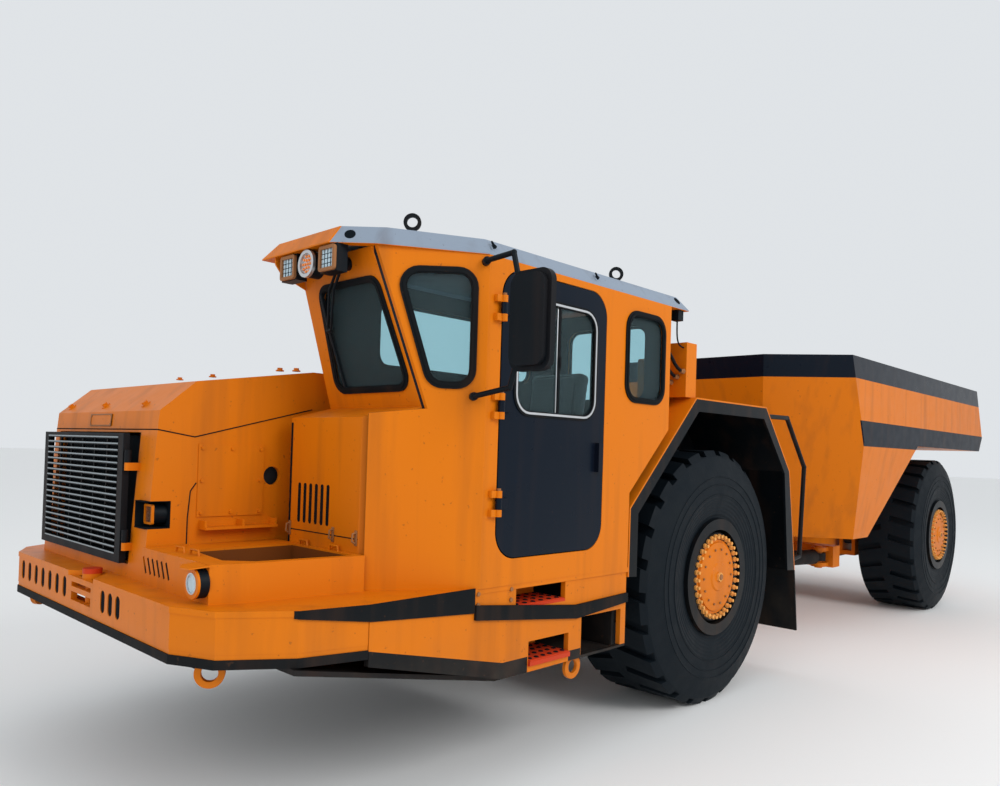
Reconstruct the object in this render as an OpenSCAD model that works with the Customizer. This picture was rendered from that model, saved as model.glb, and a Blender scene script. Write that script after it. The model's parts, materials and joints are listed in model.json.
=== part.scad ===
// Articulated four-wheel underground dump truck, mm.
// +X forward, +Y left, +Z up; origin under the middle of the overall box, on the ground.

/* [Wheels] */
// Distance between the two axles
wheelbase = 5310; // [4800:10:5800]
// Tyre outer radius over the lugs
tyre_r = 875; // [800:1:950]
// Tyre section width
tyre_w = 670; // [560:1:720]
// Distance from the centre line to a tyre's middle
half_track = 1060; // [1000:1:1150]
// Radius of the rim under the tyre
rim_r = 345; // [320:1:380]
// Depth of the tread lugs
lug_depth = 38; // [15:1:60]
// Number of lugs on each shoulder
lug_count = 26; // [16:1:36]

/* [Front unit] */
// Height of the front deck plate
deck_z = 1043; // [980:1:1100]
// Distance from the front axle to the front edge of the deck
deck_front = 3670; // [3500:1:3800]
// Half width over the cab side and the skirts
half_w = 1440; // [1380:1:1450]
// Height of the bumper wall under the deck
bumper_h = 168; // [120:1:240]
// Height of the lowest corner of the skirts
skirt_low_z = 564; // [500:1:640]
// Height of the top of the front fenders
fender_top_z = 2089; // [1950:1:2150]
// Plate thickness of the fenders
fender_t = 22; // [12:1:40]

/* [Cab] */
// Height of the cab wall over the door
door_head = 42; // [25:1:120]
// Height of the roof plate over the cab walls
roof_h = 88; // [60:1:140]
// Cab wall thickness
wall_t = 32; // [20:1:60]
// Distance from the front axle to the cab's rear wall
cab_rear_x = 768; // [700:1:850]
// Distance from the front axle to the bend at the door's front
cab_bend_x = 2388; // [2350:1:2450]
// Distance from the front axle to the lower front panel
cab_front_x = 2850; // [2780:1:2900]
// Distance from the centre line to the cab's right wall
cab_right_y = 470; // [440:1:520]
// Distance from the centre line to the front corner of the bent panel
cab_nose_y = 1150; // [1080:1:1200]
// Height of the ledge under the windscreen
ledge_z = 1837; // [1750:1:1880]
// Thickness of the window panes
glass_t = 8; // [5:1:12]
// Width of the door
door_w = 845; // [780:1:900]
// Height of the door
door_h = 1413; // [1300:1:1450]
// Corner radius of the door
door_r = 135; // [60:1:180]
// Distance the mirror stands out past the cab side
mirror_reach = 420; // [300:1:500]
// Gap around the door
door_gap = 6; // [4:0.5:12]

/* [Hood] */
// Distance from the centre line to the hood's left side
hood_left_y = 380; // [340:1:420]
// Distance from the centre line to the hood's right side
hood_right_y = 1020; // [960:1:1080]
// Height of the hood at the cab
hood_top_z = 2094; // [1980:1:2150]
// Hood plate thickness
hood_t = 25; // [12:1:40]
// Width of the grille door
grille_w = 1140; // [1000:1:1180]
// Height of the grille door
grille_h = 640; // [560:1:680]
// Number of grille slats
slat_count = 18; // [10:1:24]

/* [Rear unit] */
// Distance from the front axle to the steering hinge
hinge_x = 1750; // [1650:1:1850]
// Radius of the steering hinge pin
hinge_r = 80; // [60:1:100]
// Height of the dump body's pivot
tip_z = 1650; // [1600:1:1700]
// Distance from the rear axle back to the dump body's pivot
tip_back = 790; // [700:1:900]
// Radius of the dump body's pivot pin
tip_r = 50; // [35:1:70]
// Half width of the dump body
bed_half_w = 1450; // [1445:1:1480]
// Height of the dump body's rim
bed_top_z = 2665; // [2550:1:2750]
// Height of the dump body's straight sides at their foot
bed_foot_z = 1890; // [1860:1:1930]
// Plate thickness of the dump body
bed_t = 30; // [16:1:50]
// Height of the black rim band
rim_band_h = 200; // [120:1:260]

/* [Hidden] */
$fn = 48;
orange = [0.86, 0.44, 0.06];
black = [0.05, 0.06, 0.07];
grey = [0.6, 0.63, 0.68];
steel = [0.45, 0.45, 0.46];
glass = [0.55, 0.65, 0.7, 0.5];
run_fit = 0.05;
pin_x = deck_front - 55;
pin_r = 28;
axle_r = 190;
tip_x = -wheelbase - tip_back;
bed_rear_x = 863 - tip_x;
bed_front_x = -1850;
bed_run = 3460;
front_axle_x = (bed_rear_x - deck_front) / 2;
mirror_out = half_w + mirror_reach;
box_mid_y = (mirror_out - bed_half_w) / 2;
axle_z = tyre_r;
arc_steps = 7;
cab_mid_y = (cab_right_y + half_w) / 2 - 15;
chamfer_ang = atan2(178, 265);
tow_x = 3530;
tow_y = half_w - 374;
tow_z = 776;
osc_z = 730;
osc_r = 120;
rail_in = 330;
rail_out = 450;
steer_z = 700;
steer_eye_x = -1525;
steer_eye_y = 280;
steer_base_x = -3300;
steer_base_y = 780;
steer_dx = steer_eye_x - steer_base_x;
steer_dy = steer_base_y - steer_eye_y;
steer_len = sqrt(steer_dx * steer_dx + steer_dy * steer_dy);
steer_ang = atan2(steer_dy, steer_dx);
hoist_base_x = rear_x(-4700);
hoist_base_z = 800;
hoist_eye_x = rear_x(-4500);
hoist_eye_z = 1700;
hoist_y = 590;
hoist_dx = hoist_eye_x - hoist_base_x;
hoist_dz = hoist_eye_z - hoist_base_z;
hoist_len = sqrt(hoist_dx * hoist_dx + hoist_dz * hoist_dz);
hoist_ang = atan2(hoist_dx, hoist_dz);
screen_lean = 0.277;
screen_foot_x = 2618;
bend_ang = atan2(half_w - cab_nose_y, 2830 - cab_bend_x);
pane_foot_x = screen_foot_x + screen_lean * 140 - 30;
grille_y = 190;
grille_z = 1110;
door_front_x = 2290;
door_z = 1177;
hinge_out = 24;
cab_top_z = door_z + door_h + door_head;
mirror_top_z = cab_top_z - 117;
pane_head_x = screen_foot_x + screen_lean * (cab_top_z - 130 - ledge_z) - 30;
door_hinges = [door_z + 252, door_z + 720, door_z + door_h - 221];

// Length position on the rear unit, which stretches with the wheelbase.
function rear_x(x) = bed_front_x + (x - bed_front_x) * (wheelbase + bed_front_x) / bed_run;

// Points of the arc that rounds corner p between its neighbours a and b.
function corner_arc(p, a, b, r) =
    let (u = (a - p) / norm(a - p))
    let (v = (b - p) / norm(b - p))
    let (half = acos(u * v) / 2)
    let (c = p + (u + v) / norm(u + v) * r / sin(half))
    let (s = p + u * r / tan(half) - c)
    let (e = p + v * r / tan(half) - c)
    let (turn = sign(s[0] * e[1] - s[1] * e[0]) * (180 - 2 * half) / arc_steps)
    [for (k = [0:arc_steps]) c + [
        s[0] * cos(turn * k) - s[1] * sin(turn * k),
        s[0] * sin(turn * k) + s[1] * cos(turn * k)
    ]];

// Outline with all its corners rounded.
function rounded(pts, r) =
    let (n = len(pts))
    [for (i = [0:n - 1]) each corner_arc(pts[i], pts[(i + n - 1) % n], pts[(i + 1) % n], r)];

// Shifts the truck so that its box is centred on the origin.
module place() {
    translate([front_axle_x, -box_mid_y, 0]) children();
}

// Draws a length-height outline from side y0 to side y1.
module xz(y0, y1) {
    translate([0, y1, 0]) rotate([90, 0, 0]) linear_extrude(height = y1 - y0) children();
}

// Draws a width-height outline from x0 forward to x1.
module yz(x0, x1) {
    translate([x0, 0, 0]) rotate([90, 0, 90]) linear_extrude(height = x1 - x0) children();
}

// Draws a plan outline from height z0 to z1.
module xy(z0, z1) {
    translate([0, 0, z0]) linear_extrude(height = z1 - z0) children();
}

// Box between two corners.
module box(a, b) {
    translate(a) cube([b[0] - a[0], b[1] - a[1], b[2] - a[2]]);
}

// Round bar along Y.
module bar_y(x, z, y0, y1, r) {
    translate([x, y0, z]) rotate([-90, 0, 0]) cylinder(h = y1 - y0, r = r);
}

// Round bar along X.
module bar_x(y, z, x0, x1, r) {
    translate([x0, y, z]) rotate([0, 90, 0]) cylinder(h = x1 - x0, r = r);
}

// Round bar between two points.
module bar(p, q, r) {
    d = q - p;
    translate(p) rotate([0, acos(d[2] / norm(d)), atan2(d[1], d[0])]) cylinder(h = norm(d), r = r);
}

// Bent tube through a list of points.
module tube(pts, r) {
    for (i = [0:len(pts) - 2])
        bar(pts[i], pts[i + 1], r);
    for (i = [1:len(pts) - 2])
        translate(pts[i]) sphere(r = r + 1.5);
}

// Both sides of the truck.
module both() {
    children();
    mirror([0, 1, 0]) children();
}

// Flat rectangle with round corners.
module round_rect(x0, y0, x1, y1, r) {
    translate([x0 + r, y0]) square([x1 - x0 - 2 * r, y1 - y0]);
    translate([x0, y0 + r]) square([x1 - x0, y1 - y0 - 2 * r]);
    for (x = [x0 + r, x1 - r])
        for (y = [y0 + r, y1 - r])
            translate([x, y]) circle(r = r);
}

// Front unit

module deck_plan(inset) {
    polygon([
        [1162, -half_w + inset], [3022, -half_w + 10 + inset],
        [3312, -half_w + 79 + inset], [3577 - inset, -half_w + 257],
        [deck_front - 44 - inset, -half_w + 366], [deck_front - inset, -half_w + 455],
        [deck_front - inset, half_w - 455], [deck_front - 44 - inset, half_w - 366],
        [3577 - inset, half_w - 257], [3312, half_w - 79 - inset],
        [3022, half_w - 10 - inset], [1162, half_w - inset]
    ]);
}

module front_frame() {
    color(black) place() {
        both() difference() {
            box([-1050, rail_in, 620], [3300, rail_out, deck_z - 25]);
            bar_y(0, axle_z, 0, 1000, axle_r + 0.3);
        }
        difference() {
            box([-1050, -rail_out, 480], [-760, rail_out, deck_z - 30]);
            bar_x(0, osc_z, -1300, -700, osc_r + run_fit);
        }
        box([900, -rail_in - 1, 640], [1000, rail_in + 1, 900]);
        xz(-half_w + 60, half_w - 60) polygon([
            [1200, skirt_low_z], [2206, skirt_low_z], [3340, 795],
            [3340, 817], [2206, skirt_low_z + 22], [1200, skirt_low_z + 22]
        ]);
        both() box([1200, rail_out - 1, skirt_low_z + 20], [1230, half_w - 60, deck_z - 30]);
        both() box([-900, rail_out - 1, 880], [-840, 680, deck_z - 25]);
        both() box([860, rail_out - 1, deck_z - 58], [920, 680, deck_z - 25]);
        difference() {
            bar_x(0, osc_z, -1240, -1040, osc_r + 90);
            bar_x(0, osc_z, -1300, -700, osc_r + run_fit);
        }
    }
}

module bumper() {
    color(orange) place() difference() {
        bumper_plates();
        translate([pin_x, 0, 0]) cylinder(h = deck_z - 24, r = pin_r + 0.3);
    }
}

module bumper_plates() {
        difference() {
            xy(deck_z - 25, deck_z) deck_plan(0);
            xy(deck_z - 40, deck_z + 10) polygon([
                [deck_front - 110, -30], [deck_front + 10, -180],
                [deck_front + 10, 180], [deck_front - 110, 30]
            ]);
            box([950, -hood_right_y + 40, deck_z - 40], [3300, hood_left_y - 40, deck_z + 10]);
        }
        difference() {
            xy(deck_z - bumper_h, deck_z - 24) deck_plan(4);
            xy(deck_z - bumper_h - 10, deck_z) deck_plan(34);
            box([1000, -2000, deck_z - bumper_h - 10], [3022, 2000, deck_z]);
            for (i = [0:6]) slot(-half_w + 540 + i * (half_w - 768) / 6);
            for (i = [0:2]) slot(280 + i * 88);
            box([3560, -130, deck_z - 140], [3800, 130, deck_z - 50]);
        }
        box([3560, -150, deck_z - 98], [deck_front - 4, 150, deck_z - 73]);
        deck_cut() difference() {
            xy(deck_z - bumper_h - 20, deck_z - bumper_h) deck_plan(6);
            xy(deck_z - bumper_h - 30, deck_z) deck_plan(120);
            tow_slots();
        }
}

// Slots that the front tow eyes pass through.
module tow_slots() {
    both() tow_frame() box([-62, -14.5, 700], [62, 14.5, deck_z - bumper_h + 5]);
}

module tow_frame() {
    translate([tow_x, tow_y, 0]) rotate([0, 0, -chamfer_ang]) children();
}

module deck_cut() {
    intersection() {
        children();
        box([3022, -2000, 0], [4000, 2000, 2000]);
    }
}

module slot(y) {
    translate([3500, y, deck_z - 90]) rotate([90, 0, 90]) linear_extrude(height = 300) {
        square([52, 52], center = true);
        translate([0, 26]) circle(r = 26);
        translate([0, -26]) circle(r = 26);
    }
}

module rubber_guards() {
    color(black) place() {
        deck_cut() difference() {
            xy(deck_z - bumper_h - 58, deck_z - bumper_h - 20) deck_plan(0);
            xy(deck_z - bumper_h - 70, deck_z) deck_plan(120);
            tow_slots();
        }
        both() xz(half_w - 10, half_w + 6) polygon([
            [1165, 845], [1640, 809], [2410, 899], [2410, 970], [1640, 882], [1165, 897]
        ]);
        intersection() {
            difference() {
                xy(900, 1060) deck_plan(-6);
                xy(890, 1070) deck_plan(0);
            }
            xz(-2000, 2000) polygon([
                [2414, 932], [3010, 972], [3330, 1012], [3330, deck_z], [2414, deck_z + 7]
            ]);
        }
        both() translate([-1155, 0, 826]) rotate([0, 8, 0]) box([-8, 740, -490], [8, half_w, -1.125]);
    }
}

module tow_fittings() {
    color(steel) place() {
        translate([pin_x, 0, deck_z - bumper_h - 20]) cylinder(h = bumper_h + 20, r = pin_r);
        translate([pin_x, 0, deck_z - 24]) cylinder(h = 50, r = pin_r + 16);
        both() tow_frame() xz(-14, 14) difference() {
            union() {
                translate([0, tow_z]) circle(r = 60);
                translate([-45, tow_z]) square([90, deck_z - 25 - tow_z]);
            }
            translate([0, tow_z]) circle(r = 34);
        }
        both() xz(half_w - 59, half_w - 40) difference() {
            union() {
                translate([1609, 537]) circle(r = 66);
                translate([1575, 537]) square([68, 140]);
            }
            translate([1609, 537]) circle(r = 36);
        }
    }
}

module side_skirts() {
    color(orange) place() {
        both() difference() {
            xz(half_w - 40, half_w - 10) polygon([
                [1165, 588], [2206, skirt_low_z + 20], [3020, 785], [3020, deck_z - 25], [1165, deck_z - 25]
            ]);
            box([1214, half_w - 440, 600], [1582, half_w + 160, 808]);
            box([1692, half_w - 440, 640], [2015, half_w + 160, 739]);
            box([1730, half_w - 440, 925], [2120, half_w + 160, 1016]);
        }
        both() box([1692, half_w - 260, 616], [2015, half_w + 5, 639]);
        both() box([1730, half_w - 240, 914], [2120, half_w - 11, 924]);
    }
}

module tray_box() {
    color(orange) place() {
        difference() {
            xy(deck_z, deck_z + 162) tray_plan();
            xy(deck_z + 15, deck_z + 200) polygon([
                [2884, 600], [2884, 1118], [3340, 1056], [3440, 960], [3400, 600]
            ]);
            for (i = [0:5])
                translate([3500, 440 + i * 48, deck_z + 50]) rotate([25, 0, 0]) box([0, -9, 0], [60, 9, 80]);
        }
    }
}

module tray_plan() {
    polygon([
        [2854, hood_left_y + 8], [3540, hood_left_y + 8], [3540, 1050], [3385, 1098], [2854, 1160]
    ]);
}

// Hood

module hood_outline(i) {
    polygon([
        [1175 + i, deck_z], [3530 - i, deck_z], [3486 - i, 1750], [3305, 1721], [2655, 1890], [1175 + i, 1890]
    ]);
}

module hood() {
    color(orange) place() {
        difference() {
            xz(-hood_right_y, hood_left_y) hood_outline(0);
            translate([0, 0, -20]) xz(-hood_right_y + hood_t, hood_left_y - hood_t) polygon([
                [1205, 900], [3500, 900], [3450, 1900], [1205, 1990]
            ]);
            box([3300, grille_y - grille_w - 6, grille_z - 6],
                [3700, grille_y + 6, grille_z + grille_h - 14]);
            box([3410, 255, 1285], [3700, hood_left_y + 50, 1415]);
            bar_y(2883, 1534, hood_left_y - 60, hood_left_y + 60, 48);
        }
        difference() {
            box([3385, 235, 1265], [3480, hood_left_y - 1, 1435]);
            box([3410, 255, 1285], [3700, hood_left_y + 50, 1415]);
        }
        box([2935, hood_left_y - 1, 1335], [3285, hood_left_y + 7, 1690]);
        box([2880, hood_left_y - 1, 1275], [3268, hood_left_y + 72, 1287]);
        for (x = [2880, 3060, 3256])
            box([x, hood_left_y - 1, 1286], [x + 12, hood_left_y + 60, 1318]);
        for (z = [grille_z + 62, grille_z + 442])
            translate([3551, grille_y + 22, z]) cylinder(h = 37, r = 14);
        for (z = [grille_z + 62, grille_z + 442])
            translate([3551, grille_y + 22, z + 36]) cylinder(h = 50, r = 8);
        for (z = [grille_z + 62, grille_z + 442])
            box([3480, grille_y + 22, z], [3551, grille_y + 36, z + 37]);
    }
}

module hood_cover() {
    color(orange) place() {
        difference() {
            xz(-hood_right_y, hood_left_y) polygon([
                [3485.5, 1751], [3478, 1841], [3305, 1992], [2655, hood_top_z],
                [1175, hood_top_z], [1175, 1891], [2655.3, 1891], [3305, 1722]
            ]);
            xz(-hood_right_y + hood_t, hood_left_y - hood_t) polygon([
                [3450, 1700], [3450, 1830], [3295, 1966], [2650, hood_top_z - hood_t],
                [1205, hood_top_z - hood_t], [1205, 1700]
            ]);
        }
    }
}

module grille_door() {
    color(black) place() {
        translate([3536, 0, grille_z]) difference() {
            box([0, grille_y - grille_w, 0], [30, grille_y, grille_h - 20]);
            for (i = [0:slat_count - 1])
                box([-5, grille_y - grille_w + 60, 45 + i * 31], [40, grille_y - 60, 64 + i * 31]);
        }
        for (i = [1:5])
            box([3544, grille_y - grille_w + 55 + i * 170, grille_z + 44],
                [3556, grille_y - grille_w + 65 + i * 170, grille_z + grille_h - 40]);
        for (z = [grille_z + 100, grille_z + 480])
            difference() {
                union() {
                    translate([3551, grille_y + 22, z]) cylinder(h = 60, r = 14);
                    box([3541, grille_y - 10, z + 5], [3561, grille_y + 22, z + 55]);
                }
                translate([3551, grille_y + 22, z - 5]) cylinder(h = 70, r = 8 + run_fit);
            }
    }
}

module power_pack() {
    color(steel) place() {
        box([3330, -930, deck_z], [3420, 230, 1720]);
        box([1700, -700, deck_z - 25], [3050, rail_in - 40, 1700]);
        box([1750, -rail_in + 30, 760], [3000, rail_in - 60, deck_z - 24]);
        box([1050, -rail_in, 640], [1650, rail_in, deck_z - 5]);
    }
}

// Cab

module cab_floor() {
    color(black) place() {
        xy(deck_z, deck_z + 48) polygon([
            [1180, cab_right_y], [1180, half_w - wall_t - 12],
            [cab_bend_x - 15, half_w - wall_t - 12], [2790, cab_nose_y - wall_t],
            [cab_front_x - wall_t, cab_nose_y - wall_t], [cab_front_x - wall_t, cab_right_y]
        ]);
    }
}

module cab_front() {
    color(orange) place() {
        difference() {
            xz(cab_right_y + wall_t, half_w - 120) polygon([
                [cab_front_x, deck_z], [cab_front_x, ledge_z], [screen_foot_x, ledge_z + 60],
                [screen_foot_x + screen_lean * (cab_top_z - ledge_z), cab_top_z],
                [screen_foot_x + screen_lean * (cab_top_z - ledge_z) - 40, cab_top_z],
                [screen_foot_x - 40, ledge_z + 30], [cab_front_x - wall_t, ledge_z - 30],
                [cab_front_x - wall_t, deck_z]
            ]);
            bent(-wall_t - 0.5) box([-300, 0, 0], [900, 900, 4000]);
            yz(2400, 3000) windscreen();
            for (i = [0:5])
                yz(cab_front_x - 60, cab_front_x + 20) round_rect(580 + i * 50, 1310, 608 + i * 50, 1510, 13);
        }
    }
}

module windscreen() {
    polygon(rounded([
        [612, ledge_z + 153], [cab_nose_y + 38, ledge_z + 153],
        [cab_nose_y - 52, cab_top_z - 142], [640, cab_top_z - 142]
    ], 60));
}

module bent(y_out) {
    translate([cab_bend_x, half_w, 0]) rotate([0, 0, -bend_ang]) translate([0, y_out, 0]) children();
}

module cab_corner() {
    color(orange) place() {
        difference() {
            xy(deck_z, cab_top_z) polygon([
                [cab_bend_x - 9.5, half_w], [cab_bend_x, half_w],
                [2844, cab_nose_y - 10], [2826, cab_nose_y - 36],
                [cab_bend_x - 9.5, half_w - wall_t]
            ]);
            xz(0, 2000) polygon([
                [screen_foot_x, ledge_z + 50], [3000, ledge_z - 3], [3000, 3000],
                [screen_foot_x + screen_lean * (3000 - ledge_z), 3000]
            ]);
            bent(-wall_t) xz(-20, wall_t + 20) corner_window();
        }
    }
}

module corner_window() {
    polygon(rounded([
        [70, ledge_z + 166], [266, ledge_z + 166], [432, cab_top_z - 104], [70, cab_top_z - 87]
    ], 75));
}

module cab_side() {
    color(orange) place() {
        difference() {
            xz(half_w - wall_t, half_w) polygon([
                [cab_rear_x, cab_top_z], [cab_rear_x, 1862], [1172, 1478], [1172, deck_z],
                [cab_bend_x - 10, deck_z], [cab_bend_x - 10, cab_top_z]
            ]);
            xz(half_w - 200, half_w + 100) round_rect(
                door_front_x - door_w - door_gap, door_z - door_gap,
                door_front_x + door_gap, door_z + door_h + door_gap, door_r + door_gap
            );
            xz(half_w - 200, half_w + 100) side_window();
        }
        for (z = door_hinges)
            translate([door_front_x + 12, half_w + hinge_out, z - 45]) cylinder(h = 34, r = 16);
        for (z = door_hinges)
            box([door_front_x + 12, half_w - 1, z - 45], [door_front_x + 60, half_w + hinge_out, z - 11]);
    }
}

module side_window() {
    round_rect(cab_rear_x + 84, ledge_z + 188, cab_rear_x + 466, cab_top_z - 102, 90);
}

module door_window() {
    round_rect(door_front_x - door_w + 95, door_z + 713, door_front_x - 105, door_z + door_h - 118, 100);
}

module rear_window() {
    round_rect(cab_right_y + 170, ledge_z + 213, half_w - 170, cab_top_z - 102, 80);
}

module right_window() {
    round_rect(1000, cab_top_z - 472, 2300, cab_top_z - 102, 80);
}

module door_panel() {
    color(black) place() {
        difference() {
            xz(half_w - wall_t, half_w + 2)
                round_rect(door_front_x - door_w, door_z, door_front_x, door_z + door_h, door_r);
            xz(half_w - 200, half_w + 100) door_window();
        }
        for (z = door_hinges)
            translate([door_front_x + 12, half_w + hinge_out, z - 10.5]) cylinder(h = 55, r = 16);
        for (z = door_hinges)
            box([door_front_x - 60, half_w + 1, z - 10.5], [door_front_x + 12, half_w + hinge_out, z + 44]);
        box([door_front_x - door_w + 35, half_w + 1, door_z + 423],
            [door_front_x - door_w + 75, half_w + 30, door_z + 583]);
    }
}

module door_glass() {
    color(glass) place() {
        xz(half_w - 18, half_w - 18 + glass_t) door_window();
    }
}

module cab_right() {
    color(orange) place() {
        difference() {
            xz(cab_right_y, cab_right_y + wall_t) polygon([
                [cab_rear_x, cab_top_z], [cab_rear_x, 1862], [1172, 1478], [1172, deck_z + 48],
                [cab_front_x - wall_t - 1, deck_z + 48],
                [cab_front_x - wall_t - 1, ledge_z - 32], [screen_foot_x - 44, ledge_z + 28],
                [screen_foot_x + screen_lean * (cab_top_z - ledge_z) - 44, cab_top_z]
            ]);
            xz(cab_right_y - 100, cab_right_y + 200) right_window();
        }
    }
}

module cab_rear() {
    color(orange) place() {
        difference() {
            xz(cab_right_y + wall_t, half_w - wall_t) polygon([
                [cab_rear_x, cab_top_z], [cab_rear_x, 1862], [1172, 1478],
                [1172, deck_z + 48], [1172 + wall_t, deck_z + 48],
                [1172 + wall_t, 1492], [cab_rear_x + wall_t, 1876], [cab_rear_x + wall_t, cab_top_z]
            ]);
            yz(cab_rear_x - 168, cab_rear_x + 132) rear_window();
        }
    }
}

module roof_plan(i) {
    polygon([
        [560 + i, cab_right_y - 60 + i], [3000 - i, cab_right_y - 60 + i],
        [3000 - i, 1000], [2850 - i, cab_nose_y + 10],
        [cab_bend_x + 8 - i / 2, half_w - i], [560 + i, half_w - i]
    ]);
}

module cab_roof() {
    color(grey) place() {
        difference() {
            hull() {
                xy(cab_top_z, cab_top_z + 6) roof_plan(0);
                xy(cab_top_z + 6, cab_top_z + roof_h) roof_plan(60);
            }
            xy(cab_top_z - 1, cab_top_z + 30) roof_plan(70);
        }
        both_eyes();
    }
}

module both_eyes() {
    for (p = [[2660, half_w - 255], [1213, half_w - 110]])
        translate([p[0], p[1], cab_top_z + roof_h]) rotate([0, 0, -45]) difference() {
            union() {
                translate([0, 0, -25]) cylinder(h = 36, r = 20);
                bar_y(0, 48, -9, 9, 42);
            }
            bar_y(0, 48, -30, 30, 25);
        }
}

module cab_glass() {
    color(glass) place() {
        intersection() {
            xz(500, half_w) polygon([
                [pane_foot_x, ledge_z + 140], [pane_foot_x + glass_t, ledge_z + 140],
                [pane_head_x + glass_t, cab_top_z - 130], [pane_head_x, cab_top_z - 130]
            ]);
            yz(2400, 3000) windscreen();
        }
        bent(-20) xz(0, glass_t) corner_window();
        xz(half_w - 20, half_w - 20 + glass_t) side_window();
        xz(cab_right_y + 10, cab_right_y + 10 + glass_t) right_window();
        yz(cab_rear_x + 10, cab_rear_x + 10 + glass_t) rear_window();
    }
}

module seat() {
    color(black) place() {
        box([1350, cab_mid_y - 160, deck_z + 48], [1650, cab_mid_y + 140, 1400]);
        box([1290, cab_mid_y - 240, 1400], [1780, cab_mid_y + 240, 1520]);
        translate([1300, cab_mid_y, 1500]) rotate([0, -8, 0]) box([-40, -230, 0], [90, 230, 720]);
    }
}

module controls() {
    color(black) place() {
        box([2350, 560, deck_z + 48], [2600, 1050, 1750]);
        translate([2330, cab_mid_y - 10, 1600]) rotate([0, -35, 0]) {
            cylinder(h = 200, r = 35);
            translate([0, 0, 200]) rotate_extrude() translate([190, 0]) circle(r = 16);
            for (a = [0:120:240]) rotate([0, 0, a]) bar_x(0, 200, 0, 190, 12);
        }
    }
}

module side_mirror() {
    color(black) place() {
        for (p = [[20, cab_top_z - 37], [62, ledge_z + 115]])
            bent(0) bar_y(p[0], p[1], 0, 32, 20);
        tube([
            [2421, half_w + 10, cab_top_z - 37], [2421, mirror_out - 235, cab_top_z - 24],
            [2410, mirror_out - 200, mirror_top_z - 65]
        ], 13);
        tube([
            [2456, half_w - 12, ledge_z + 115], [2415, mirror_out - 240, ledge_z + 153],
            [2410, mirror_out - 200, mirror_top_z - 385]
        ], 13);
        translate([2420, 0, 0]) {
            yz(-28, 6) round_rect(mirror_out - 240, mirror_top_z - 455, mirror_out, mirror_top_z, 60);
            yz(5, 34)
                round_rect(mirror_out - 220, mirror_top_z - 433, mirror_out - 20, mirror_top_z - 22, 50);
        }
    }
}

module lamps() {
    color(black) place() {
        for (y = [632, 968])
            box([2915, y - 66, cab_top_z - 128], [2975, y + 66, cab_top_z]);
        bar_x(800, cab_top_z - 68, 2915, 2975, 63);
        box([2940, 788, cab_top_z - 20], [2960, 812, cab_top_z]);
        box([600, half_w - 68, cab_top_z - 66], [660, half_w - 16, cab_top_z]);
        bar_x(1000, 1128, 3540, 3580, 62);
        bar_x(310, 1350, 3410, 3475, 50);
    }
}

// Fender arch

module arch(i) {
    polygon([
        [1160 - i, 987 - 4 * i], [1160 - i, 1390 - i * 0.4],
        [430 - i * 0.4, fender_top_z - i], [-594 + i * 0.4, fender_top_z - i],
        [-1026 + i, 1613 - i * 0.2], [-1166 + i, 826 - 4 * i]
    ]);
}

module fenders() {
    color(orange) place() {
        both() difference() {
            xz(680, half_w - 2) arch(0);
            xz(680 + 20, half_w + 40) arch(fender_t);
            xz(600, 720) translate([0, axle_z]) circle(r = 330);
        }
        both() difference() {
            xz(half_w - 20, half_w - 2) arch(0);
            xz(half_w - 60, half_w + 40) arch(90);
        }
        both() tube([
            [-640, half_w - 90, fender_top_z - 60], [-1150, half_w - 90, 2036],
            [-1507, half_w - 90, 1645], [-1451, half_w - 90, 905], [-1160, half_w - 90, 870]
        ], 18);
    }
}

module front_axle() {
    color(steel) place() axle(0);
}

module axle(x) {
    bar_y(x, axle_z, -half_track - 40, half_track + 40, axle_r);
    translate([x, 0, axle_z]) sphere(r = 240);
    bar_y(x, axle_z, -half_track - 200, half_track + 200, 110);
}

module tanks() {
    color(orange) place() {
        box([-560, -640, 1130], [1150, 440, 1940]);
        both() for (x = [-560, 820])
            box([x, rail_in, deck_z - 25], [x + 60, rail_out - 15, 1131]);
        box([380, half_w - 290, fender_top_z], [506, half_w - 40, 2445]);
    }
}

// Articulation

module yoke() {
    color(black) place() {
        bar_x(0, osc_z, -1300, -900, osc_r);
        difference() {
            union() {
                bar_x(0, osc_z, -1420, -1300, osc_r + 120);
                box([-1440, -240, 490], [-1400, 240, 970]);
            }
            both() box([-1500, 195, steer_z - 58], [-1350, 420, steer_z + 58]);
        }
        difference() {
            both_ears() yoke_ear();
            translate([-hinge_x, 0, 0]) cylinder(h = 2000, r = hinge_r + run_fit);
        }
        both() for (z = [600, 762])
            xy(z, z + 38) {
                translate([steer_eye_x, steer_eye_y]) circle(r = 75);
                translate([steer_eye_x, 200]) square([110, 155]);
            }
    }
}

module both_ears() {
    translate([0, 0, 490]) children();
    translate([0, 0, 910]) children();
}

module yoke_ear() {
    xy(0, 60) {
        translate([-hinge_x, 0]) circle(r = 190);
        translate([-hinge_x, -190]) square([hinge_x - 1400, 380]);
    }
}

// Rear unit

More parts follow.
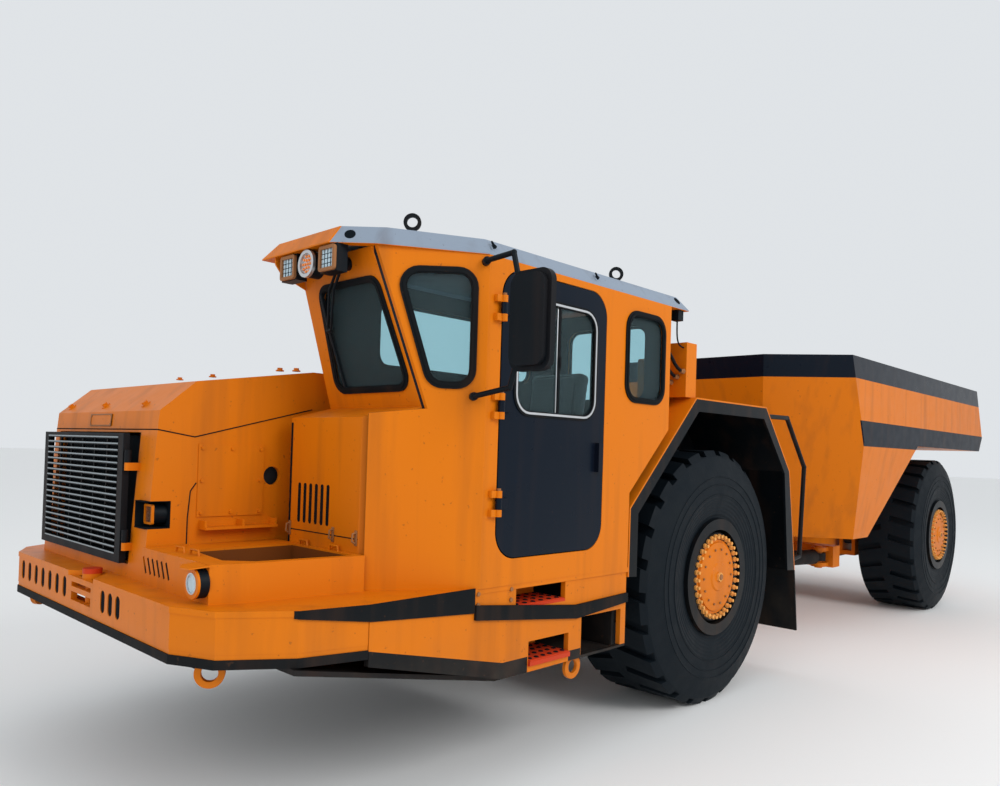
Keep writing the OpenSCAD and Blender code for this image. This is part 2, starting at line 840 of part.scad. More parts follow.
module rear_frame() {
    color(black) place() {
        translate([-hinge_x, 0, 470]) cylinder(h = 520, r = hinge_r);
        translate([-hinge_x, 0, 552]) cylinder(h = 356, r = 185);
        xy(560, 600) nose_plan();
        xy(860, 900) nose_plan();
        both() difference() {
            box([tip_x - 200, rail_in, 560], [-2900, rail_out, 900]);
            bar_y(-wheelbase, axle_z, 0, 1000, axle_r + 0.3);
        }
        both() difference() {
            xz(rail_in, rail_out) polygon([
                [tip_x - 200, 899], [tip_x - 200, tip_z - 60], [tip_x - 60, tip_z + 80],
                [tip_x + 60, tip_z + 80], [tip_x + 500, 899]
            ]);
            bar_y(tip_x, tip_z, 0, 1000, tip_r + run_fit);
        }
        box([tip_x - 200, -rail_in - 1, 600], [tip_x - 50, rail_in + 1, 880]);
        both() box([-3560, rail_out - 1, 590], [-3380, 900, 810]);
        both() for (z = [600, 760])
            xy(z, z + 40) {
                translate([steer_base_x, steer_base_y]) circle(r = 75);
                translate([-3400, steer_base_y - 75]) square([100, 150]);
            }
        both() translate([steer_base_x, steer_base_y, 585]) cylinder(h = 230, r = 38);
        both() for (y = [hoist_y - 90, hoist_y + 52])
            xz(y, y + 38) {
                translate([hoist_base_x, hoist_base_z]) circle(r = 75);
                translate([hoist_base_x - 75, 640]) square([150, 160]);
            }
        both() box([hoist_base_x - 75, rail_out - 1, 600], [hoist_base_x + 75, hoist_y + 90, 650]);
        both() bar_y(hoist_base_x, hoist_base_z, hoist_y - 60, hoist_y + 60, 35.95);
    }
}

module nose_plan() {
    polygon([[-hinge_x - 60, -150], [-hinge_x - 60, 150], [-2900, rail_out], [-2900, -rail_out]]);
}

module rear_axle() {
    color(steel) place() axle(-wheelbase);
}

module rear_lamps() {
    color(black) place() {
        both() box([tip_x - 240, rail_in, 700], [tip_x - 200, rail_out, 800]);
    }
}

// Dump body

module bed_side_outline(i) {
    polygon([
        [bed_front_x - i, bed_top_z], [bed_front_x - i - 0.34 * (bed_top_z - 950), 950 + i],
        [rear_x(-3300) + i * 0.5, 950 + i], [rear_x(-4226) + i * 0.5, bed_foot_z + i],
        [tip_x - 720, bed_foot_z + i], [-bed_rear_x, 2070 + i], [tip_x - 555, bed_top_z]
    ]);
}

module bed_cross(i) {
    polygon([
        [-bed_half_w + i, bed_top_z + 1], [-bed_half_w + i, bed_foot_z], [-1265 + i, 950], [-1265 + i, 900],
        [1265 - i, 900], [1265 - i, 950], [bed_half_w - i, bed_foot_z], [bed_half_w - i, bed_top_z + 1]
    ]);
}

module bed_solid(i) {
    intersection() {
        difference() {
            xz(-bed_half_w, bed_half_w) bed_side_outline(i);
            both() translate([bed_front_x - i * 1.2, bed_half_w - 642, bed_top_z])
                rotate([0, 0, 33.3]) rotate([0, 20.2, 0]) box([0, -2000, -3000], [2000, 3000, 2000]);
        }
        yz(tip_x - 1100, -1500) bed_cross(i);
    }
}

// Length-height outline of the floor plates and the belly.
module bed_floor_outline() {
    polygon([
        [-2430, 800], [tip_x - 1000, 800], [tip_x - 1000, 2100], [tip_x - 700, 1960],
        [rear_x(-4200), 1960], [rear_x(-3290), 1010], [-2500, 1010]
    ]);
}

module bed_shell() {
    difference() {
        bed_solid(0);
        bed_solid(bed_t);
        xz(-bed_half_w + bed_t, bed_half_w - bed_t) polygon([
            [tip_x - 500, bed_foot_z + bed_t + 60], [tip_x - 1100, bed_foot_z + bed_t + 180],
            [tip_x - 1100, bed_top_z + 335], [tip_x - 500, bed_top_z + 335]
        ]);
        box([tip_x - 900, -2000, bed_top_z - 0.5], [-1000, 2000, bed_top_z + 335]);
    }
}

module bed_floor() {
    color(orange) place() {
        intersection() {
            bed_shell();
            xz(-bed_half_w + 50, bed_half_w - 50) bed_floor_outline();
        }
        both() difference() {
            box([tip_x - 120, rail_out + 8, tip_z - 100], [tip_x + 120, rail_out + 60, bed_foot_z + 10]);
            bar_y(tip_x, tip_z, 0, 1000, tip_r - 10);
        }
        both() bar_y(tip_x, tip_z, rail_in - 10, rail_out + 59, tip_r);
        both() box([tip_x - 680, rail_out + 8, tip_z + 130],
            [hoist_eye_x - 150, rail_out + 58, bed_foot_z + 10]);
        both() for (y = [hoist_y - 104, hoist_y + 66])
            xz(y, y + 38) polygon([
                [hoist_eye_x - 70, hoist_eye_z - 60], [hoist_eye_x + 70, hoist_eye_z - 60],
                [hoist_eye_x + 110, bed_foot_z + 10], [hoist_eye_x - 110, bed_foot_z + 10]
            ]);
    }
}

module bed_sides() {
    color(orange) place() {
        both() difference() {
            intersection() {
                bed_shell();
                box([tip_x - 1100, 1000, 800], [-1000, 2000, bed_top_z - rim_band_h]);
            }
            xz(-bed_half_w + 50, bed_half_w - 50) bed_floor_outline();
        }
    }
}

module bed_front() {
    color(orange) place() {
        difference() {
            intersection() {
                bed_shell();
                box([-3000, -1000, 800], [-1000, 1000, bed_top_z - rim_band_h]);
            }
            xz(-bed_half_w + 50, bed_half_w - 50) bed_floor_outline();
        }
    }
}

module bed_rim() {
    color(black) place() {
        intersection() {
            bed_shell();
            box([tip_x - 1100, -2000, bed_top_z - rim_band_h], [-1000, 2000, bed_top_z + 335]);
        }
    }
}

// Cylinders

module steer_frame(side) {
    translate([steer_base_x, side * steer_base_y, steer_z]) rotate([0, 0, -side * steer_ang]) children();
}

module steer_barrel(side) {
    steer_frame(side) {
        difference() {
            union() {
                translate([0, 0, -40]) cylinder(h = 80, r = 70);
                bar_x(0, 0, 0, 90, 38);
                bar_x(0, 0, 84, 1150, 75);
            }
            bar_x(0, 0, 120, 1200, 62);
            translate([0, 0, -60]) cylinder(h = 120, r = 38 + run_fit);
        }
    }
}

module steer_rod(side) {
    steer_frame(side) {
        bar_x(0, 0, 640, 700, 61.95);
        bar_x(0, 0, 640, steer_len - 50, 40);
        difference() {
            translate([steer_len, 0, -46]) cylinder(h = 92, r = 68);
            translate([steer_len, 0, -60]) cylinder(h = 120, r = 38);
        }
    }
}

module steer_barrel_l() {
    color(black) place() steer_barrel(1);
}

module steer_rod_l() {
    color(steel) place() steer_rod(1);
}

module steer_barrel_r() {
    color(black) place() steer_barrel(-1);
}

module steer_rod_r() {
    color(steel) place() steer_rod(-1);
}

module hoist_frame() {
    both() translate([hoist_base_x, hoist_y, hoist_base_z]) rotate([0, hoist_ang, 0]) children();
}

module hoist_barrels() {
    color(black) place() hoist_frame() difference() {
        union() {
            bar_y(0, 0, -45, 45, 70);
            cylinder(h = 90, r = 44);
            translate([0, 0, 84]) cylinder(h = 696, r = 90);
        }
        translate([0, 0, 104]) cylinder(h = 800, r = 76);
        bar_y(0, 0, -60, 60, 36);
    }
}

module hoist_stages() {
    color(steel) place() hoist_frame() difference() {
        translate([0, 0, 106]) cylinder(h = 704, r = 75.95);
        translate([0, 0, 126]) cylinder(h = 800, r = 58);
    }
}

module hoist_rods() {
    color(steel) place() hoist_frame() {
        translate([0, 0, 128]) cylinder(h = hoist_len - 170, r = 57.95);
        difference() {
            bar_y(0, hoist_len, -40, 40, 62);
            bar_y(0, hoist_len, -60, 60, 36);
        }
    }
}

// Wheels

module tyre_section() {
    h = tyre_w / 2;
    polygon([
        [rim_r, -h + 85], [rim_r, -h + 32], [rim_r + 57, -h + 32], [rim_r + 95, -h + 20],
        [tyre_r - 315, -h], [tyre_r - 175, -h], [tyre_r - 45, -h + 35], [tyre_r, -h + 65],
        [tyre_r, h - 65], [tyre_r - 45, h - 35], [tyre_r - 175, h], [tyre_r - 315, h],
        [rim_r + 95, h - 20], [rim_r + 57, h - 32], [rim_r, h - 32], [rim_r, h - 85],
        [rim_r + 85, h - 75], [tyre_r - 315, h - 40], [tyre_r - 175, h - 45], [tyre_r - 85, h - 90],
        [tyre_r - 75, 0], [tyre_r - 85, -h + 90], [tyre_r - 175, -h + 45], [tyre_r - 315, -h + 40],
        [rim_r + 85, -h + 75]
    ]);
}

module tyre() {
    rotate([-90, 0, 0]) difference() {
        rotate_extrude($fn = 96) tyre_section();
        for (i = [0:lug_count - 1]) {
            rotate([0, 0, i * 360 / lug_count]) lug_gap(1);
            rotate([0, 0, (i + 0.5) * 360 / lug_count]) lug_gap(-1);
        }
    }
}

module lug_gap(s) {
    translate([tyre_r - lug_depth, 0, s * 40]) rotate([-s * 14, 0, 0])
        translate([0, -32, s > 0 ? 0 : -400]) cube([lug_depth + 20, 64, 400]);
}

module wheel() {
    h = tyre_w / 2;
    rotate([-90, 0, 0]) rotate_extrude($fn = 96) polygon([
        [0, h + 8], [90, h + 8], [100, h], [235, h - 8], [240, h - 20], [rim_r - 45, h - 20],
        [rim_r - 35, h - 30], [rim_r - 35, h - 90], [rim_r - 20, h - 95],
        [rim_r - 20, h - 2], [rim_r + 55, h - 2], [rim_r + 55, h - 31.7], [rim_r - 0.3, h - 31.7],
        [rim_r - 0.3, -h + 31.7], [rim_r + 55, -h + 31.7], [rim_r + 55, -h + 2],
        [rim_r - 20, -h + 2], [rim_r - 20, h - 200], [110 + run_fit, h - 200],
        [110 + run_fit, h - 130], [0, h - 130]
    ]);
}

module wheel_at(x, side) {
    translate([x, side * half_track, axle_z]) rotate([0, 0, side > 0 ? 0 : 180]) children();
}

module tyre_fl() {
    color(black) place() wheel_at(0, 1) tyre();
}

module tyre_fr() {
    color(black) place() wheel_at(0, -1) tyre();
}

module tyre_rl() {
    color(black) place() wheel_at(-wheelbase, 1) tyre();
}

module tyre_rr() {
    color(black) place() wheel_at(-wheelbase, -1) tyre();
}

module wheel_fl() {
    color(orange) place() wheel_at(0, 1) wheel();
}

module wheel_fr() {
    color(orange) place() wheel_at(0, -1) wheel();
}

module wheel_rl() {
    color(orange) place() wheel_at(-wheelbase, 1) wheel();
}

module wheel_rr() {
    color(orange) place() wheel_at(-wheelbase, -1) wheel();
}

front_frame();
bumper();
rubber_guards();
tow_fittings();
side_skirts();
tray_box();
hood();
hood_cover();
grille_door();
power_pack();
cab_floor();
cab_front();
cab_corner();
cab_side();
cab_right();
cab_rear();
cab_roof();
cab_glass();
seat();
controls();
side_mirror();
lamps();
fenders();
front_axle();
tanks();
door_panel();
door_glass();
yoke();
rear_frame();
rear_axle();
rear_lamps();
bed_floor();
bed_sides();
bed_front();
bed_rim();
steer_barrel_l();
steer_rod_l();
steer_barrel_r();
steer_rod_r();
hoist_barrels();
hoist_stages();
hoist_rods();
tyre_fl();
tyre_fr();
tyre_rl();
tyre_rr();
wheel_fl();
wheel_fr();
wheel_rl();
wheel_rr();
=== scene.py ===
"""Looks of the articulated dump truck: finishes, trim, light and camera."""
import json
import math
import bmesh
import bpy
from mathutils import Matrix, Vector


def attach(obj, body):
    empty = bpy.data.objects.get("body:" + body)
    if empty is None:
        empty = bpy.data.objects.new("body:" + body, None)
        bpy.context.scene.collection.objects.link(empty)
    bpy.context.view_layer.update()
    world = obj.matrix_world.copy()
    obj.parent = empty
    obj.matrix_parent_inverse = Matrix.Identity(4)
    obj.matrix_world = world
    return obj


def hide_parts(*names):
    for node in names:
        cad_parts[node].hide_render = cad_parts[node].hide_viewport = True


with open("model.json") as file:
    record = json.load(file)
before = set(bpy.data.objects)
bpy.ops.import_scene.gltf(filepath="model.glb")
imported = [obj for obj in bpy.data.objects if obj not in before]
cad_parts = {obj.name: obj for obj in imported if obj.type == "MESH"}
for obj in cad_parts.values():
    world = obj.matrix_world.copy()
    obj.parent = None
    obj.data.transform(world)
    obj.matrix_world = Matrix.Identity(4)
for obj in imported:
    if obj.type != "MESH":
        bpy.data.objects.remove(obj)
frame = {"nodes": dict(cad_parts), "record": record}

bl_info = {
    "name": "Articulated dump truck",
    "version": (1, 1, 0),
    "blender": (4, 5, 0),
    "location": "View3D > Sidebar > Truck",
    "description": "Dresses the packed truck with finishes, trim and a studio",
    "category": "Object",
}

# Places are in mm from the front axle, the centre line and the ground, as in the part's source.
FRONT_AXLE_X = 1646.5
MID_Y = 205.0
HALF_W = 1440.0
WHEELBASE = 5310.0
AXLE_Z = 875.0
HUB_Y = 1375.0
TYRE_Y = 1395.0
ROOF_Z = 2632.0

# The cab's bent corner starts at BEND_X on the side wall and ends at the cab's front.
BEND_X = 2388.0
BEND_END_Y = 1150.0
CAB_FRONT_X = 2830.0
BEND = math.atan2(HALF_W - BEND_END_Y, CAB_FRONT_X - BEND_X)

# The windscreen rises from its foot and leans forward.
SCREEN_FOOT_X = 2618.0
SCREEN_FOOT_Z = 1897.0
SCREEN_LEAN = 220.2 / 735

# Trim that repeats.
NUT_CIRCLE = 277.0
PLUG_CIRCLE = 190.0
PLUGS = 14
TYRE_RINGS = (572, 640, 692)
GRILLE_FOOT_Z = 1148.0
SLATS = 19
SLAT_PITCH = 31.0
# The next value is the height of the painted highlight strip on each grille slat.
SLAT_HIGHLIGHT = 7.0
HINGE_Z = (1429, 1897, 2369)
STUDS = (6, 4)

# Camera of the photo: yaw, pitch and roll in degrees, place in mm. The floor is in metres.
CAM_ANGLES = (223.91, 0.93, 1.79)
CAM_PLACE = (5047.3, 4077.3, 1699.8)
CAM_LENS = 28.456
CAM_SHIFT = (0.0038, 0.045)
FLOOR_HALF = 120

# Shading angle in degrees, and the seat's pads in metres.
ROUND_ANGLE = 40
PAD_EDGE = 0.035
PAD_VOXEL = 0.008
PAD_SWELL = 0.018
CLOTH_FRAMES = 20


def R(x, y, z):
    """A point of the truck in the row frame."""
    return Vector(((x + FRONT_AXLE_X) / 1000, (y - MID_Y) / 1000, z / 1000))


class TruckLook(bpy.types.PropertyGroup):
    """Sizes and finishes of the trim."""
    edge: bpy.props.FloatProperty(
        name="Edge round", description="Round on plate edges", default=0.004, unit="LENGTH")
    dust: bpy.props.FloatProperty(
        name="Dust", description="How much dust dulls the paint", default=0.2, subtype="FACTOR")
    paint: bpy.props.FloatVectorProperty(
        name="Paint", description="Colour of the body", default=(0.66, 0.165, 0.001), subtype="COLOR")
    dark: bpy.props.FloatVectorProperty(
        name="Dark paint", description="Colour of the door and the bed's bands",
        default=(0.0006, 0.0045, 0.012), subtype="COLOR")
    nut_r: bpy.props.FloatProperty(
        name="Wheel nut", description="Radius of a wheel nut", default=0.018, unit="LENGTH")
    nuts: bpy.props.IntProperty(
        name="Wheel nuts", description="Nuts on each wheel", default=34)
    seal_w: bpy.props.FloatProperty(
        name="Seal width", description="Width of the window rubbers", default=0.034, unit="LENGTH")


# Materials

MAT = {}
BLACK = (0.003, 0.0045, 0.006)
CAB_INSIDE = (0.006, 0.012, 0.018)
MUD = (0.13, 0.095, 0.065)
RED = (0.55, 0.04, 0.008)
STAIN = (0.075, 0.035, 0.018)
TRAY_SHADE_AND_DIRT = (0.16, 0.045, 0.008)
TYRE = (0.0010, 0.0048, 0.0090)
TYRE_DUST = (0.018, 0.020, 0.021)
MUD_TOP = 1.05
MUD_FULL = 0.35
SIDEWALL_R = 0.56


def socket(node, name, value):
    """Sets a node's own value."""
    node.inputs[name].default_value = value


def op(tree, kind, a, b=None):
    """A math node on sockets or numbers."""
    n = tree.nodes.new("ShaderNodeMath")
    n.operation = kind
    for i, v in enumerate((a, b)):
        if isinstance(v, (int, float)):
            n.inputs[i].default_value = v
        elif v is not None:
            tree.links.new(v, n.inputs[i])
    return n.outputs[0]


def base_material(name):
    """A new material with its tree and its shader."""
    m = bpy.data.materials.new(name)
    m.use_nodes = True
    return m, m.node_tree, m.node_tree.nodes["Principled BSDF"]


def coords(tree):
    """Object coordinates, whole and split."""
    c = tree.nodes.new("ShaderNodeTexCoord")
    s = tree.nodes.new("ShaderNodeSeparateXYZ")
    tree.links.new(c.outputs["Object"], s.inputs[0])
    return c.outputs["Object"], s.outputs


def noise(tree, where, scale, detail=4.0):
    """Noise of 0 to 1."""
    n = tree.nodes.new("ShaderNodeTexNoise")
    socket(n, "Scale", scale)
    socket(n, "Detail", detail)
    tree.links.new(where, n.inputs["Vector"])
    return n.outputs["Fac"]


def mix(tree, fac, a, b):
    """Colour a where fac is 0, b where it is 1."""
    n = tree.nodes.new("ShaderNodeMix")
    n.data_type = "RGBA"
    tree.links.new(fac, n.inputs["Factor"])
    for i, v in ((6, a), (7, b)):
        if isinstance(v, tuple):
            n.inputs[i].default_value = v + (1,)
        else:
            tree.links.new(v, n.inputs[i])
    return n.outputs[2]


def bump(tree, shader, height, strength, distance):
    """Roughens the shader's normals by a height."""
    b = tree.nodes.new("ShaderNodeBump")
    socket(b, "Strength", strength)
    socket(b, "Distance", distance)
    tree.links.new(height, b.inputs["Height"])
    tree.links.new(b.outputs["Normal"], shader.inputs["Normal"])


def ramp(tree, value, low, high):
    """0 below low, 1 above high."""
    n = tree.nodes.new("ShaderNodeMapRange")
    socket(n, "From Min", low)
    socket(n, "From Max", high)
    tree.links.new(value, n.inputs["Value"])
    return n.outputs[0]


def worn(tree, where, colour, amount):
    """Streaks that run down the paint, and small chips in it."""
    m = tree.nodes.new("ShaderNodeMapping")
    socket(m, "Scale", (8.0, 8.0, 0.6))
    tree.links.new(where, m.inputs["Vector"])
    streaks = ramp(tree, noise(tree, m.outputs[0], 1.0, 6.0), 0.5, 0.8)
    streaks = op(tree, "MULTIPLY", streaks, amount * 1.5)
    chips = ramp(tree, noise(tree, where, 42.0, 3.0), 0.69, 0.73)
    chips = op(tree, "MULTIPLY", chips, amount * 2.0)
    return mix(tree, op(tree, "MAXIMUM", streaks, chips), colour, STAIN)


def painted(name, colour, rough, dust=0.0, second=None, mask=None, metal=0.0, grime=0.0,
            peel=0.05, gloss=0.12, third=None, mask3=None):
    """Paint with wear, mud low down, and a second and third colour where their masks are 1."""
    m, t, p = base_material(name)
    where, xyz = coords(t)
    pale = tuple(c * 0.75 + 0.02 for c in colour)
    col = mix(t, op(t, "MULTIPLY", noise(t, where, 2.2), dust), colour, pale)
    if mask:
        col = mix(t, mask(t, xyz), col, second)
    if mask3:
        col = mix(t, mask3(t, xyz), col, third)
    if grime:
        low = ramp(t, op(t, "MULTIPLY", xyz[2], -1), -MUD_TOP, -MUD_FULL)
        spots = op(t, "POWER", noise(t, where, 7.0, 8.0), 2.0)
        col = mix(t, op(t, "MULTIPLY", op(t, "MULTIPLY", low, spots), grime), col, MUD)
    if dust:
        col = worn(t, where, col, dust)
    t.links.new(col, p.inputs["Base Color"])
    g = op(t, "MULTIPLY", noise(t, where, 9.0), 0.16)
    t.links.new(op(t, "ADD", g, rough), p.inputs["Roughness"])
    bump(t, p, noise(t, where, 260.0, 2.0), peel, 0.001)
    socket(p, "Metallic", metal)
    socket(p, "Specular IOR Level", gloss)
    MAT[name] = m


def beyond(normal, point):
    """1 on the far side of the plane through a row-frame point."""
    n = Vector(normal).normalized()
    limit = n.dot(point)

    def make(t, xyz):
        total = op(t, "MULTIPLY", xyz[0], n.x)
        for i in (1, 2):
            total = op(t, "ADD", total, op(t, "MULTIPLY", xyz[i], n[i]))
        return op(t, "GREATER_THAN", total, limit)
    return make


def both_of(a, b):
    """1 where both masks are 1."""
    return lambda t, xyz: op(t, "MULTIPLY", a(t, xyz), b(t, xyz))


def either(a, b):
    """1 where either mask is 1."""
    return lambda t, xyz: op(t, "MAXIMUM", a(t, xyz), b(t, xyz))


def span(axis, low, high):
    """1 between two row-frame places on an axis."""
    def make(t, xyz):
        above = op(t, "GREATER_THAN", xyz[axis], low)
        return op(t, "MULTIPLY", above, op(t, "LESS_THAN", xyz[axis], high))
    return make


def within(near, far):
    """1 between two distances from the centre plane."""
    def make(t, xyz):
        y = op(t, "ABSOLUTE", op(t, "ADD", xyz[1], MID_Y / 1000))
        return op(t, "MULTIPLY", op(t, "GREATER_THAN", y, near), op(t, "LESS_THAN", y, far))
    return make


def skirt_masks():
    """The dark lower edge of the skirts, and their red step plates."""
    def run(x0, x1):
        return span(0, R(x0, 0, 0).x, R(x1, 0, 0).x)
    slope = beyond((186, 0, -814), R(2206, 0, 664))
    edge = both_of(run(2020, 3100), either(span(2, 0, 0.664), slope))
    edge = either(edge, both_of(run(1584, 1690), span(2, 0, 0.640)))
    edge = either(edge, both_of(run(1100, 1690), span(2, 0, 0.602)))
    plates = both_of(run(1691, 2016), span(2, 0.612, 0.6405))
    inner = both_of(both_of(run(1729, 2121), span(2, 0.912, 0.9255)), within(1.1, 1.432))
    return edge, either(plates, inner)


def arch_shade_masks():
    """Painted shade: the inside of the wheel arches, and what stands off outside them."""
    line = ((1160, 987), (1160, 1390), (430, 2089), (-594, 2089), (-1026, 1613), (-1166, 826))
    inside, outside_arch = within(0.69, 1.46), None
    for (x0, z0), (x1, z1) in zip(line, line[1:]):
        n = Vector((z1 - z0, 0, x0 - x1)).normalized()
        at = R(x0, 0, z0)
        inside = both_of(inside, beyond(-n, at - n * 0.010))
        off = beyond(n, at + n * 0.006)
        outside_arch = off if outside_arch is None else either(outside_arch, off)
    return either(inside, outside_arch)


def side_stripe(low, high, reach):
    """1 in a height band on the outer faces of both sides."""
    return both_of(span(2, low, high), within(reach, 2 * reach))


def tray_inside():
    """1 on the tray's inner walls and floor, which get painted shade and dirt."""
    line = ((2884, 600), (2884, 1118), (3340, 1056), (3440, 960), (3400, 600), (2884, 600))
    inside = beyond((0, 0, -1), R(0, 0, 1196))
    for (x0, y0), (x1, y1) in zip(line, line[1:]):
        n = Vector((y0 - y1, x1 - x0, 0)).normalized()
        inside = both_of(inside, beyond(-n, R(x0, y0, 0) + n * 0.004))
    return inside


def radius_from(t, xyz, at):
    """Distance from a wheel's axis."""
    dx = op(t, "SUBTRACT", xyz[0], at.x)
    dz = op(t, "SUBTRACT", xyz[2], at.z)
    return op(t, "SQRT", op(t, "ADD", op(t, "MULTIPLY", dx, dx), op(t, "MULTIPLY", dz, dz)))


def outside(at, radius):
    """1 further than a radius from a wheel's axis."""
    return lambda t, xyz: op(t, "GREATER_THAN", radius_from(t, xyz, at), radius)


def tyre_rubber(name, at, dust):
    """Rubber with fine rings on the sidewall and dust in the tread."""
    m, t, p = base_material(name)
    where, xyz = coords(t)
    r = radius_from(t, xyz, at)
    f = op(t, "MULTIPLY", noise(t, where, 5.0, 6.0), dust)
    t.links.new(mix(t, f, TYRE, TYRE_DUST), p.inputs["Base Color"])
    ring = op(t, "SINE", op(t, "MULTIPLY", r, 250.0))
    ring = op(t, "MULTIPLY", ring, op(t, "LESS_THAN", r, SIDEWALL_R))
    bump(t, p, op(t, "ADD", ring, noise(t, where, 90.0)), 0.35, 0.003)
    rough = op(t, "MULTIPLY", noise(t, where, 14.0), 0.25)
    t.links.new(op(t, "ADD", rough, 0.5), p.inputs["Roughness"])
    socket(p, "Specular IOR Level", 0.12)
    MAT[name] = m


def woven(name, colour, rough):
    """Fabric with a fine square weave."""
    m, t, p = base_material(name)
    where, xyz = coords(t)
    total = None
    for i in (0, 1, 2):
        s = op(t, "SINE", op(t, "MULTIPLY", xyz[i], 1600.0))
        total = s if total is None else op(t, "ADD", total, s)
    pale = tuple(c * 1.8 + 0.01 for c in colour)
    t.links.new(mix(t, noise(t, where, 18.0), colour, pale), p.inputs["Base Color"])
    bump(t, p, total, 0.3, 0.001)
    socket(p, "Roughness", rough)
    socket(p, "Sheen Weight", 0.3)
    MAT[name] = m


def ribbed(name, colour, rough, step, axis):
    """Lens or plate with fine ribs across one axis."""
    m, t, p = base_material(name)
    where, xyz = coords(t)
    ribs = op(t, "SINE", op(t, "MULTIPLY", xyz[axis], 2 * math.pi / step))
    pale = tuple(min(1.0, c * 1.3 + 0.05) for c in colour)
    t.links.new(mix(t, noise(t, where, 40.0), colour, pale), p.inputs["Base Color"])
    bump(t, p, ribs, 0.5, 0.002)
    socket(p, "Roughness", rough)
    socket(p, "Coat Weight", 0.5)
    MAT[name] = m


def make_materials(look):
    """All the finishes, from the look's colours and dust."""
    d = look.dust
    orange = tuple(look.paint)
    navy = tuple(look.dark)
    painted("body_orange", orange, 0.30, d, grime=0.5)
    painted("bed_orange", orange, 0.33, d, navy, side_stripe(1.85, 2.086, 1.44), grime=0.3)
    # Black in and around the wheel arches: painted shade.
    painted("fenders", orange, 0.30, d, BLACK, arch_shade_masks(), grime=0.3)
    edge, plates = skirt_masks()
    painted("side_skirts", orange, 0.32, d, BLACK, edge, grime=0.5, third=RED, mask3=plates)
    painted("tow_fittings", orange, 0.34, d, RED, beyond((0, 0, 1), R(0, 0, 1045)), grime=0.4)
    # Darker brown inside the tray: painted shade, with dirt.
    painted("tray_box", orange, 0.34, d, TRAY_SHADE_AND_DIRT, tray_inside(), grime=0.2)
    painted("door_black", navy, 0.22, d * 0.4)
    painted("chassis_black", (0.004, 0.005, 0.007), 0.5, d, grime=0.6)
    painted("rubber", BLACK, 0.62, d, grime=0.3, peel=0.2, gloss=0.1)
    painted("steel", (0.35, 0.35, 0.36), 0.42, d, metal=0.8)
    painted("engine_grey", (0.05, 0.05, 0.055), 0.6, d)
    painted("rod_chrome", (0.7, 0.71, 0.72), 0.08, 0.0, metal=1.0)
    painted("black_plastic", (0.002, 0.005, 0.008), 0.38, d * 0.5, peel=0.15)
    painted("step_red", RED, 0.5, d)
    # Wheel nuts painted lighter than the body: a painted highlight.
    painted("nut_painted_highlight", (0.80, 0.36, 0.085), 0.35, d)
    painted("silver", (0.62, 0.63, 0.64), 0.3, 0.05, metal=0.9)
    painted("bronze", (0.30, 0.13, 0.05), 0.4, 0.1)
    painted("mirror_glass", (0.8, 0.82, 0.84), 0.03, 0.0, metal=1.0, peel=0.0)
    # Dark finish for inner parts, seams and clips, also used as painted shade behind slots and in holes.
    painted("inside", (0.004, 0.007, 0.010), 0.8, 0.1, gloss=0.05)
    # Light grey for the painted highlights on the grille's slats.
    painted("slat_edge", (0.30, 0.34, 0.36), 0.35, 0.1, metal=0.4)
    woven("seat_fabric", (0.018, 0.018, 0.021), 0.85)
    ribbed("lens", (0.42, 0.55, 0.62), 0.15, 0.012, 1)
    ribbed("amber", (0.75, 0.20, 0.02), 0.2, 0.01, 2)
    ribbed("brown_lens", (0.09, 0.035, 0.015), 0.15, 0.009, 2)
    ribbed("red_lens", (0.4, 0.008, 0.006), 0.15, 0.01, 2)
    n = (-math.sin(BEND), -math.cos(BEND), 0)
    panels = {
        "cab_side": beyond((0, -1, 0), R(0, HALF_W - 16, 0)),
        "cab_right": beyond((0, 1, 0), R(0, 486, 0)),
        "cab_rear": beyond((1, 0, 0), R(784, 0, 0)),
        "cab_corner": beyond(n, R(BEND_X, HALF_W, 0) + Vector(n) * 0.016),
        "cab_front": beyond((-1, 0, SCREEN_LEAN), R(SCREEN_FOOT_X - 16, 0, SCREEN_FOOT_Z)),
    }
    for name, mask in panels.items():
        painted(name, orange, 0.30, d, CAB_INSIDE, mask)
    front = beyond((82, 0, 60), R(2994, 0, 2638))
    under = beyond((0, 0, -1), R(0, 0, ROOF_Z + 1.5))
    painted("roof_grey", (0.24, 0.29, 0.36), 0.36, d, orange, either(front, under),
            third=BLACK, mask3=beyond((0, 0, 1), R(0, 0, 2724)))
    m, t, p = base_material("glass")
    socket(p, "Base Color", (0.60, 0.80, 0.84, 1))
    socket(p, "Transmission Weight", 0.97)
    socket(p, "IOR", 1.05)
    socket(p, "Specular IOR Level", 0.3)
    streaks = op(t, "MULTIPLY", noise(t, coords(t)[0], 6.0), 0.05)
    t.links.new(streaks, p.inputs["Roughness"])
    MAT["glass"] = m
    for tag, x in (("f", 0.0), ("r", -WHEELBASE)):
        at = R(x, 0, AXLE_Z)
        # Black on the wheel disc from just inside the nut circle outward: painted shade between and
        # under the nuts.
        painted("wheel_" + tag, orange, 0.32, d, BLACK, outside(at, 0.257), grime=0.3)
        tyre_rubber("tyre_" + tag, at, 0.4)


# Mesh helpers

def new_object(name, bm, material, body, smooth=None):
    """A piece of the scene that rides on a body, with soft shading below an angle."""
    bmesh.ops.recalc_face_normals(bm, faces=bm.faces)
    me = bpy.data.meshes.new(name)
    bm.to_mesh(me)
    bm.free()
    ob = bpy.data.objects.new(name, me)
    bpy.context.scene.collection.objects.link(ob)
    for m in material if isinstance(material, list) else [material]:
        me.materials.append(MAT[m])
    if smooth:
        me.shade_smooth()
        ob.modifiers.new("sharp", "EDGE_SPLIT").split_angle = math.radians(smooth)
    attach(ob, body)
    return ob


def turned(axis):
    """Turns +Z onto the axis."""
    return Vector((0, 0, 1)).rotation_difference(Vector(axis).normalized()).to_matrix().to_4x4()


def paint_new(bm, before, index):
    """Gives the faces made since then a material."""
    for f in bm.faces:
        if f not in before:
            f.material_index = index


